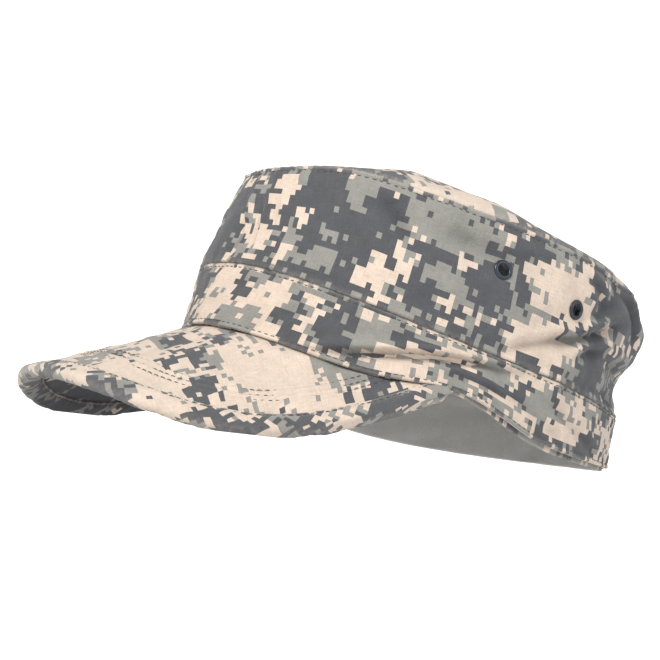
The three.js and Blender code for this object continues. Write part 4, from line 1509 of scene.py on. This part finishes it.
def soft_patch_group():
    """1 in the middle of an oval patch, half at its edge and nothing well outside it."""
    inputs = {
        "Place": ("Vector", (0, 0, 0)), "Middle": ("Vector", (0, 0, 0)), "Half Size": ("Vector", (1, 1, 1)),
    }
    w, given, result = new_group("soft_patch", inputs, {"Weight": "Float"})
    away = w.vector("DIVIDE", w.vector("SUBTRACT", given["Place"], given["Middle"]), given["Half Size"])
    square = w.vector("DOT_PRODUCT", away, away, out=1)
    w.put_out({"Weight": w.math("SUBTRACT", PATCH_SOFTNESS, square, clamp=True)}, result)


def camouflage_group():
    """Three cloth colours in patches of square cells. Tone steers between slate and sand; Grey adds grey."""
    inputs = {
        "Place": ("Vector", (0, 0, 0)), "Tone": ("Float", 0.0), "Grey": ("Float", 0.0),
        "Sand Share": ("Float", 0.0), "Cell": ("Float", 2.3), "Sand": ("Color", (0.7, 0.6, 0.5, 1)),
        "Slate": ("Color", (0.1, 0.1, 0.1, 1)), "Grey Colour": ("Color", (0.3, 0.3, 0.3, 1)),
    }
    w, given, result = new_group("pixel_camouflage", inputs, {"Color": "Color"})
    place = given["Place"]
    double = w.math("MULTIPLY", given["Cell"], 2.0)
    coarse = w.group("pixel_grid", {"Place": place, "Cell": double})
    flat = w.vector("MULTIPLY", coarse, BROAD_STRETCH)
    broad = w.patches(flat, *BROAD_PATCHES)
    blocky = w.patches(coarse, *BLOCKY_PATCHES)
    scale, detail, strength = FINE_EDGES
    lying = w.noise(w.vector("MULTIPLY", place, LYING), scale, detail)
    standing = w.noise(w.vector("MULTIPLY", place, STANDING), scale, detail)
    fine = w.swing(w.math("ADD", lying, standing), strength, 1.0)
    speck = w.swing(w.add("ShaderNodeTexWhiteNoise", place), SPECKS)
    tone = w.math("ADD", w.math("ADD", broad, blocky), w.math("ADD", fine, speck))
    tone = w.math("ADD", tone, w.math("MULTIPLY_ADD", given["Tone"], PATCH_PULL, given["Sand Share"]))
    aside = w.vector("ADD", flat, GREY_PLACE)
    far_aside = w.vector("ADD", place, GREY_EDGE_PLACE)
    grey = w.math("ADD", w.patches(aside, *GREY_PATCHES, GREY_LEVEL), w.patches(far_aside, *GREY_EDGES))
    grey = w.math("ADD", grey, w.swing(w.add("ShaderNodeTexWhiteNoise", far_aside), SPECKS))
    grey = w.math("MULTIPLY_ADD", given["Grey"], GREY_PULL, grey)
    grey = w.math("MULTIPLY_ADD", w.math("ABSOLUTE", tone), -GREY_AT_EDGES, grey)
    colour = w.mix(w.math("GREATER_THAN", tone, 0.0), given["Slate"], given["Sand"])
    colour = w.mix(w.math("GREATER_THAN", grey, 0.0), colour, given["Grey Colour"])
    w.put_out({"Color": colour}, result)


def woven_group():
    """Threads of plain cloth: their height, and a tint that differs from thread to thread."""
    inputs = {"Place": ("Vector", (0, 0, 0)), "Pitch": ("Float", 0.5)}
    w, given, result = new_group("woven_cloth", inputs, {"Height": "Float", "Tint": "Float"})
    place = given["Place"]
    turns = w.vector("SCALE", place, None, None, w.math("DIVIDE", 2 * math.pi, given["Pitch"]))
    waves = w.vector("SINE", turns)
    split = w.tree.nodes.new("ShaderNodeSeparateXYZ")
    w.tree.links.new(waves, split.inputs[0])
    threads = w.math("ADD", split.outputs[0], split.outputs[1])
    fuzz = w.noise(place, *FUZZ)
    weft = w.noise(w.vector("MULTIPLY", place, (SLUBS_ALONG, SLUBS_ACROSS, 1.0)), 1.0, 1.0)
    warp = w.noise(w.vector("MULTIPLY", place, (SLUBS_ACROSS, SLUBS_ALONG, 1.0)), 1.0, 1.0)
    tint = w.math("ADD", w.math("ADD", weft, warp), w.patches(place, *UNEVEN_DYE))
    w.put_out({"Height": w.math("MULTIPLY_ADD", threads, THREAD_RELIEF, fuzz), "Tint": tint}, result)


def stitched_group():
    """A groove along each row of stitches of the peak, from the distance that its mesh holds."""
    w, given, result = new_group("stitched_rows", {"Distance": ("Float", 0.0)}, {"Groove": "Float"})
    total = 0.0
    for row in PEAK_ROWS:
        off = w.math("DIVIDE", w.math("SUBTRACT", given["Distance"], row), ROW_GROOVE_WIDTH)
        bell = w.math("DIVIDE", 1.0, w.math("MULTIPLY_ADD", off, off, 1.0))
        total = w.math("MULTIPLY_ADD", bell, bell, total)
    w.put_out({"Groove": total}, result)


def make_groups():
    pixel_grid_group()
    soft_patch_group()
    camouflage_group()
    woven_group()
    stitched_group()


def new_material(name):
    """An empty material and its wiring."""
    material = bpy.data.materials.new(name)
    material.use_nodes = True
    material.node_tree.nodes.clear()
    return material, Wiring(material.node_tree)


def steered(w, snapped, patches, tone):
    """Tone and grey of the print, as the patches of (sort, middle, half size) steer them."""
    totals = {"tone": tone, "grey": 0.0}
    strengths = {
        "sand": ("tone", 1.0), "slate": ("tone", -1.0), "grey": ("grey", 1.0), "plain": ("grey", -1.0),
    }
    for sort, middle, half in patches:
        inputs = {"Place": snapped, "Middle": (*middle, 0), "Half Size": (*half, 1e6)}
        weight = w.group("soft_patch", inputs)
        field, strength = strengths[sort]
        totals[field] = w.math("MULTIPLY_ADD", weight, strength, totals[field])
        if field == "tone":
            totals["grey"] = w.math("MULTIPLY_ADD", weight, -GREY_GIVES_WAY, totals["grey"])
    return totals["tone"], totals["grey"]


def cloth_material(name, patches):
    """The printed cloth of a piece, with patches of (sort, middle, half size) on its flat cut, in mm."""
    if not bpy.data.node_groups.get("soft_patch"):
        make_groups()
    return printed_cloth(name, patches, **PRINTS[name])


def printed_cloth(name, patches, shift, sand_share, groove_depth=0.0, fade=REVERSE_FADE, painted_back_shade=0.0):
    """Printed, woven and rubbed cloth, paler on its back, with painted shade in its creases and along the
    band seam, and slate painted on its back and underside as their shade where the table asks. The table of
    prints says what the values are.
    """
    cloth = bpy.context.scene.cap_cloth
    material, w = new_material(name)
    cut = w.add("ShaderNodeUVMap", uv_map="cut")
    cell = cloth.cell / MM
    shifted = w.vector("ADD", cut, shift)
    snapped = w.group("pixel_grid", {"Place": cut, "Cell": cell})
    reverse = w.mark("reverse")
    # Painted shade: the back and underside of the cloth turn towards slate by the table's setting
    tone, grey = steered(w, snapped, patches, w.math("MULTIPLY", reverse, painted_back_shade))
    colour = w.group("pixel_camouflage", {
        "Place": w.vector("ADD", snapped, shift), "Tone": tone, "Grey": grey, "Sand Share": sand_share,
        "Cell": cell, "Sand": (*cloth.sand, 1), "Slate": (*cloth.slate, 1), "Grey Colour": (*cloth.grey, 1),
    })
    weave = {"Place": shifted, "Pitch": cloth.weave / MM}
    tint, height = w.group("woven_cloth", weave, "Tint", "Height")
    tint = w.math("MULTIPLY_ADD", tint, TINT_STRENGTH, 1 - TINT_STRENGTH)
    colour = w.vector("MULTIPLY", colour, w.grey(tint))
    # Painted shade: the colour darkens by the hollow mark, in creases and along the band seam
    shade = w.math("MULTIPLY_ADD", w.mark("hollow"), -HOLLOW_SHADE, 1.0, clamp=True)
    colour = w.vector("MULTIPLY", colour, w.grey(shade))
    patchy = w.math("MULTIPLY_ADD", w.noise(shifted, *RUBBED_NOISE), RUBBED_PATCHINESS, RUBBED_LEVEL)
    colour = w.mix(w.math("MULTIPLY", w.mark("wear"), patchy, clamp=True), colour, (*cloth.rubbed, 1))
    colour = w.mix(w.math("MULTIPLY", reverse, fade), colour, (*cloth.reverse, 1))
    height = w.math("MULTIPLY", height, CLOTH_RELIEF)
    if groove_depth:
        groove = w.group("stitched_rows", {"Distance": w.mark("rows")})
        height = w.math("MULTIPLY_ADD", groove, -groove_depth, height)
    relief = w.tree.nodes.new("ShaderNodeBump")
    relief.inputs["Strength"].default_value = 1.0
    relief.inputs["Distance"].default_value = MM
    w.tree.links.new(height, relief.inputs["Height"])
    w.finish(CLOTH_FINISH, Base_Color=colour, Normal=relief.outputs[0])
    return material


def plain_material(name, colour, finish, grain):
    """A plain finish whose colour and roughness vary a little from place to place."""
    material, w = new_material(name)
    place = w.vector("SCALE", w.add("ShaderNodeNewGeometry"), None, None, 1 / MM)
    specks = w.noise(place, grain, 2.0)
    shade = w.grey(w.math("MULTIPLY_ADD", specks, SHADE_SPREAD, 1 - SHADE_SPREAD / 2))
    level = finish["Roughness"] - ROUGHNESS_SPREAD / 2
    roughness = w.math("MULTIPLY_ADD", specks, ROUGHNESS_SPREAD, level)
    w.finish(finish, Base_Color=w.vector("MULTIPLY", shade, tuple(colour)), Roughness=roughness)
    return material


def thread_place(degrees, level):
    """Flat place of a spot of the walls, seen at an angle and level."""
    angle = np.array(degrees * RAD)
    level = np.array(float(level))
    thread = angle
    for _ in range(6):
        thread = angle - (skew(thread, level) - thread)
    return float(along_strip(thread)), float(up_strip(level))


def wall_patches(table):
    """Patches of the walls, from (sort, angle, level, half angle, half level) rows."""
    patches = []
    per_degree = GIRTH / 360
    for sort, degrees, level, half_angle, half_level in table:
        height = BAND_HEIGHT if level < 1 else CROWN_HEIGHT
        patches.append((sort, thread_place(degrees, level), (half_angle * per_degree, half_level * height)))
    return patches


# Patches of the crown and band, as (sort, angle, level, half angle, half level)
CROWN_PATCHES = [
    ("sand", 15, 1.83, 5, 0.08), ("sand", 13.5, 1.62, 4, 0.09), ("sand", 25, 1.55, 4, 0.12),
    ("sand", 12, 1.25, 5, 0.18), ("sand", 53, 1.34, 7, 0.12), ("sand", 48, 1.2, 5, 0.08),
    ("sand", 57, 1.71, 4, 0.05),
    ("sand", 97, 1.6, 13, 0.3), ("sand", 96, 1.2, 12, 0.15), ("sand", 98, 1.6, 10, 0.22),
    ("slate", 30, 1.62, 8, 0.33), ("slate", 33, 1.4, 6, 0.22), ("slate", 49, 1.72, 7, 0.18),
    ("slate", 77, 1.45, 7, 0.2),
    ("slate", 87, 1.87, 5, 0.08), ("slate", 102.5, 1.62, 3, 0.08), ("slate", 125, 1.78, 10, 0.18),
    ("slate", 116, 1.2, 9, 0.28),
    ("grey", 39, 1.82, 4, 0.16), ("grey", 35, 1.32, 4.5, 0.2), ("grey", 62, 1.78, 12, 0.17),
    ("grey", 76, 1.75, 6, 0.1), ("grey", 66, 1.4, 6, 0.1), ("grey", 95, 1.38, 3, 0.08),
]

RIGHT_CROWN_PATCHES = [
    ("slate", -6, 1.3, 6, 0.25), ("slate", -9, 1.72, 6, 0.2), ("plain", -8, 1.5, 5, 0.3),
]

BAND_PATCHES = [
    ("slate", -13, 0.6, 7, 0.4), ("sand", -1, 0.5, 3, 0.4),
    ("sand", 6, 0.5, 4, 0.4), ("sand", 20, 0.55, 6, 0.3), ("sand", 26, 0.5, 3, 0.4),
    ("sand", 58, 0.3, 6.5, 0.2),
    ("sand", 72, 0.75, 3, 0.15), ("sand", 105.5, 0.72, 2.5, 0.12), ("sand", 112, 0.42, 7.5, 0.32),
    ("slate", 15, 0.7, 4, 0.2), ("slate", 28, 0.4, 4, 0.1), ("slate", 45, 0.5, 5, 0.33),
    ("slate", 66, 0.75, 4, 0.15), ("slate", 80, 0.45, 12, 0.1), ("slate", 95, 0.6, 4, 0.25),
    ("slate", 122, 0.3, 7.5, 0.3),
    ("grey", 37.5, 0.88, 4.5, 0.08), ("grey", 52, 0.6, 7, 0.2), ("grey", 85, 0.65, 6.5, 0.15),
    ("grey", 101, 0.52, 3, 0.22), ("grey", 128, 0.4, 2, 0.3),
]

# Patches of the top panel and of the peak, as (sort, x, y, half x, half y) in plan
TOP_PATCHES = [
    ("slate", 32, -82, 26, 12), ("sand", 68, -42, 12, 26), ("slate", 76, 14, 12, 24),
    ("sand", 40, 60, 18, 14),
]

PEAK_PATCHES = [
    ("slate", 14, -122, 7, 5), ("slate", 37, -126, 10, 6), ("slate", 56, -126, 9, 6),
    ("slate", -10, -126, 7, 4), ("slate", 76, -46, 8, 20), ("grey", 10, -153, 9, 5), ("grey", 64, -68, 7, 8),
    ("sand", 47, -104, 12, 11), ("sand", 57, -90, 9, 11), ("sand", 67, -101, 9, 11),
    ("sand", 32, -146, 18, 9), ("sand", 8, -164, 20, 6), ("sand", -25, -140, 25, 14),
]

# Patches of the binding: place along the peak's edge and across the tape from its fold, and half size
BINDING_PATCHES = [
    ("slate", 201, 0, 9), ("slate", 242, 0, 9), ("slate", 296, 0, 7), ("slate", 324, 0, 11),
    ("slate", 357, 0, 8), ("sand", 222, 0, 8), ("sand", 268, 0, 12), ("sand", 310, 0, 5),
    ("sand", 342, 0, 6),
]


def turned_cut(along, across):
    """The flat cloth's place for the binding, which is cut on the bias."""
    return (along - across) * math.sqrt(0.5), (along + across) * math.sqrt(0.5)


def binding_patches():
    return [(sort, turned_cut(along, across), (half, half)) for sort, along, across, half in BINDING_PATCHES]


def plan_patches(table, stretch):
    """Patches given in plan, on a flat cut that is longer by a stretch."""
    return [(sort, (x, -y * stretch), (half_x, half_y * stretch)) for sort, x, y, half_x, half_y in table]


# Settings

class CapCloth(PropertyGroup):
    """Cloth of the cap: how soft and creased it is, and its print."""

    softness: FloatProperty(
        name="Softness", description="Strength of the small lumps of unlined cloth", default=1.0, min=0,
        max=3)
    puckers: FloatProperty(
        name="Puckers", description="Strength of the gathers along the seams", default=0.6, min=0, max=3)
    crease_depth: FloatProperty(
        name="Creases", description="Depth of the creases, against the drawn ones", default=1.0, min=0, max=2)
    cell: FloatProperty(
        name="Print cell", description="Side of the small squares of the print", default=0.00235, min=0.0005,
        max=0.02, unit="LENGTH", precision=5)
    weave: FloatProperty(
        name="Weave", description="Distance between threads of the cloth", default=0.0006, min=0.0002,
        max=0.005, unit="LENGTH", precision=5)
    sand: FloatVectorProperty(
        name="Sand", description="Light colour of the print", default=(0.585, 0.483, 0.40), subtype="COLOR",
        min=0, max=1)
    slate: FloatVectorProperty(
        name="Slate", description="Dark colour of the print", default=(0.080, 0.082, 0.089), subtype="COLOR",
        min=0, max=1)
    grey: FloatVectorProperty(
        name="Grey", description="Middle colour of the print", default=(0.240, 0.236, 0.215), subtype="COLOR",
        min=0, max=1)
    reverse: FloatVectorProperty(
        name="Reverse", description="Colour of the unprinted back of the cloth", default=(0.86, 0.84, 0.80),
        subtype="COLOR", min=0, max=1)
    rubbed: FloatVectorProperty(
        name="Rubbed", description="Colour of worn edges", default=(0.50, 0.46, 0.42), subtype="COLOR",
        min=0, max=1)


class CapThread(PropertyGroup):
    """Stitches of the cap."""

    stitch_length: FloatProperty(
        name="Stitch", description="Length of one stitch", default=0.0023, min=0.0005, max=0.01,
        unit="LENGTH", precision=5)
    stitch_gap: FloatProperty(
        name="Gap", description="Gap between two stitches", default=0.0009, min=0.0001, max=0.01,
        unit="LENGTH", precision=5)
    thickness: FloatProperty(
        name="Thread", description="Thickness of the thread", default=0.00036, min=0.0001, max=0.003,
        unit="LENGTH", precision=5)
    colour: FloatVectorProperty(
        name="Thread colour", description="Colour of the thread", default=(0.085, 0.087, 0.082),
        subtype="COLOR", min=0, max=1)
    metal: FloatVectorProperty(
        name="Eyelet colour", description="Colour of the painted eyelets", default=(0.036, 0.042, 0.054),
        subtype="COLOR", min=0, max=1)


class CapStage(PropertyGroup):
    """Light and backdrop."""

    key_power: FloatProperty(
        name="Key light", description="Power of the main light", default=32.0, min=0, max=500, unit="POWER")
    fill_power: FloatProperty(
        name="Fill light", description="Power of the light from the rear", default=6.0, min=0, max=500,
        unit="POWER")
    sky: FloatProperty(
        name="Sky", description="Strength of the light from all round", default=0.34, min=0, max=5)
    backdrop: FloatProperty(
        name="Backdrop", description="Light given off by the white backdrop", default=1.0, min=0, max=2)


# Operators

class CAP_OT_crown_sides(Operator):
    """Makes the two side panels of the crown, with their eyelet holes"""

    bl_idname = "cap.crown_sides"
    bl_label = "Crown sides"

    def execute(self, context):
        for side, patches in (("left", CROWN_PATCHES), ("right", RIGHT_CROWN_PATCHES)):
            make_crown_side(side, cloth_material(f"crown_{side}_print", wall_patches(patches)))
        return {"FINISHED"}


class CAP_OT_crown_top(Operator):
    """Makes the top panel of the crown"""

    bl_idname = "cap.crown_top"
    bl_label = "Crown top"

    def execute(self, context):
        make_crown_top(cloth_material("crown_top_print", plan_patches(TOP_PATCHES, 1.0)))
        return {"FINISHED"}


class CAP_OT_bands(Operator):
    """Makes the outer band and the inner band behind it"""

    bl_idname = "cap.bands"
    bl_label = "Bands"

    def execute(self, context):
        make_outer_band(cloth_material("band_print", wall_patches(BAND_PATCHES)))
        make_inner_band(cloth_material("inner_band_print", []))
        return {"FINISHED"}


class CAP_OT_peak(Operator):
    """Makes the stitched peak"""

    bl_idname = "cap.peak"
    bl_label = "Peak"

    def execute(self, context):
        make_peak(cloth_material("peak_print", plan_patches(PEAK_PATCHES, PEAK_CUT_STRETCH)))
        return {"FINISHED"}


class CAP_OT_binding(Operator):
    """Makes the bias tape round the edge of the peak"""

    bl_idname = "cap.binding"
    bl_label = "Peak binding"

    def execute(self, context):
        make_binding(cloth_material("binding_print", binding_patches()))
        return {"FINISHED"}


class CAP_OT_eyelets(Operator):
    """Makes the four painted metal eyelets"""

    bl_idname = "cap.eyelets"
    bl_label = "Eyelets"

    def execute(self, context):
        thread = context.scene.cap_thread
        paint = plain_material("eyelet_paint", thread.metal, PAINT_FINISH, 0.9)
        for name in EYELETS:
            make_eyelet(name, paint)
        return {"FINISHED"}


class CAP_OT_stitches(Operator):
    """Sews the rows of stitches"""

    bl_idname = "cap.stitches"
    bl_label = "Stitches"

    def execute(self, context):
        thread = context.scene.cap_thread
        make_stitches(plain_material("thread", thread.colour, THREAD_FINISH, 2.5))
        return {"FINISHED"}


# Stage

# Camera of the photo, near the floor and turned a little about its line of sight
CAMERA_PLACE = Vector((839.98, -525.83, 5.0)) * MM
CAMERA_AIM = Vector((-10.93, -1.98, 49.23)) * MM
CAMERA_ROLL = 6.45 * RAD
CAMERA_LENS = 123.3
CAMERA_SENSOR = 36

# Bowl of the backdrop in metres, its depth below the cap's rest, and the share of its glow that lights
# the cap
BOWL_FLOOR = 2.3
BOWL_ROUND = 1.6
BOWL_TOP = 3.0
BOWL_SINK = 0.0002
FLOOR_LIGHT = 0.45

# Lamps: setting of their power, place, size and colour
LAMPS = {
    "key_light": ("key_power", (0.75, -1.2, 1.3), 0.7, (1.0, 0.98, 0.95)),
    "fill_light": ("fill_power", (1.3, 0.7, 0.9), 1.0, (0.95, 0.97, 1.0)),
}
LAMP_AIM = (0, 0, 0.06)
SKY_COLOUR = (0.97, 0.98, 1.0, 1)


def area_light(name, power, place, size, colour):
    """A round soft lamp that shines on the cap and isn't seen itself."""
    light = bpy.data.lights.new(name, "AREA")
    light.shape = "DISK"
    light.size = size
    light.energy = power
    light.color = colour
    lamp = bpy.data.objects.new(name, light)
    lamp.location = place
    lamp.rotation_euler = (Vector(LAMP_AIM) - Vector(place)).to_track_quat("-Z", "Y").to_euler()
    lamp.visible_camera = False
    bpy.context.scene.collection.objects.link(lamp)


def make_camera():
    """The camera, at the photo's angle."""
    camera = bpy.data.cameras.new("camera")
    camera.lens = CAMERA_LENS
    camera.sensor_width = CAMERA_SENSOR
    camera.clip_start = 0.01
    camera.clip_end = 50
    seen_by = bpy.data.objects.new("camera", camera)
    forward = (CAMERA_AIM - CAMERA_PLACE).normalized()
    right = forward.cross(Vector((0, 0, 1))).normalized()
    up = right.cross(forward)
    rolled_right = right * math.cos(CAMERA_ROLL) + up * math.sin(CAMERA_ROLL)
    rolled_up = up * math.cos(CAMERA_ROLL) - right * math.sin(CAMERA_ROLL)
    turn = Matrix((rolled_right, rolled_up, -forward)).transposed()
    seen_by.matrix_world = Matrix.Translation(CAMERA_PLACE) @ turn.to_4x4()
    bpy.context.scene.collection.objects.link(seen_by)
    bpy.context.scene.camera = seen_by


def make_backdrop(glow):
    """A white bowl: a floor that curves up into a wall all round."""
    floor = np.linspace(0.0, BOWL_FLOOR, 20)[1:]
    bends = np.linspace(0, 90, 24)[1:] * RAD
    radius = np.concatenate([floor, BOWL_FLOOR + BOWL_ROUND * np.sin(bends), [BOWL_FLOOR + BOWL_ROUND]])
    height = np.concatenate([0 * floor, BOWL_ROUND * (1 - np.cos(bends)), [BOWL_TOP]]) - BOWL_SINK
    turns = np.linspace(0, 2 * math.pi, 97)[:-1]
    ring = np.stack([np.cos(turns), np.sin(turns), 0 * turns], -1)
    points = radius[:, None, None] * ring[None] + np.array([0, 0, 1]) * height[:, None, None]
    n = len(turns)
    faces = [[r * n + k, r * n + (k + 1) % n, (r + 1) * n + (k + 1) % n, (r + 1) * n + k]
             for r in range(len(radius) - 1) for k in range(n)]
    faces = [face[::-1] for face in faces] + [list(range(n))]
    material = plain_material("backdrop_white", (0.6, 0.6, 0.6), BACKDROP_FINISH, 0.01)
    shader = next(node for node in material.node_tree.nodes if node.type == "BSDF_PRINCIPLED")
    shader.inputs["Emission Strength"].default_value = glow
    w = Wiring(material.node_tree)
    seen = w.tree.nodes.new("ShaderNodeLightPath").outputs["Is Camera Ray"]
    light = w.math("MULTIPLY_ADD", seen, 1 - FLOOR_LIGHT, FLOOR_LIGHT)
    w.tree.links.new(light, shader.inputs["Emission Color"])
    new_mesh("backdrop", points, faces, material)


class CAP_OT_stage(Operator):
    """Makes the backdrop, the lights and the camera"""

    bl_idname = "cap.stage"
    bl_label = "Stage"

    def execute(self, context):
        stage = context.scene.cap_stage
        make_camera()
        make_backdrop(stage.backdrop)
        for name, (power, place, size, colour) in LAMPS.items():
            area_light(name, getattr(stage, power), place, size, colour)
        world = bpy.data.worlds.new("studio")
        world.use_nodes = True
        sky = world.node_tree.nodes["Background"]
        sky.inputs["Color"].default_value = SKY_COLOUR
        sky.inputs["Strength"].default_value = stage.sky
        context.scene.world = world
        context.scene.view_settings.view_transform = "Standard"
        return {"FINISHED"}


# Sidebar, and the run

class CAP_PT_panel(Panel):
    """Lists the settings and the steps of the cap"""

    bl_idname = "CAP_PT_panel"
    bl_label = "Military cap"
    bl_space_type = "VIEW_3D"
    bl_region_type = "UI"
    bl_category = "Cap"

    def draw(self, context):
        scene = context.scene
        for group in (scene.cap_cloth, scene.cap_thread, scene.cap_stage):
            box = self.layout.box()
            for name in group.bl_rna.properties.keys():
                if name not in ("rna_type", "name"):
                    box.prop(group, name)
        for operator in OPERATORS:
            self.layout.operator(operator.bl_idname)


OPERATORS = (
    CAP_OT_crown_sides, CAP_OT_crown_top, CAP_OT_bands, CAP_OT_peak, CAP_OT_binding, CAP_OT_eyelets,
    CAP_OT_stitches, CAP_OT_stage,
)
CLASSES = (CapCloth, CapThread, CapStage, *OPERATORS, CAP_PT_panel)


def register():
    for cls in CLASSES:
        bpy.utils.register_class(cls)
    bpy.types.Scene.cap_cloth = PointerProperty(type=CapCloth)
    bpy.types.Scene.cap_thread = PointerProperty(type=CapThread)
    bpy.types.Scene.cap_stage = PointerProperty(type=CapStage)


def unregister():
    del bpy.types.Scene.cap_stage
    del bpy.types.Scene.cap_thread
    del bpy.types.Scene.cap_cloth
    for cls in reversed(CLASSES):
        bpy.utils.unregister_class(cls)


def main():
    register()
    for operator in OPERATORS:
        getattr(bpy.ops.cap, operator.bl_idname.removeprefix("cap."))()


if __name__ == "__main__":
    main()
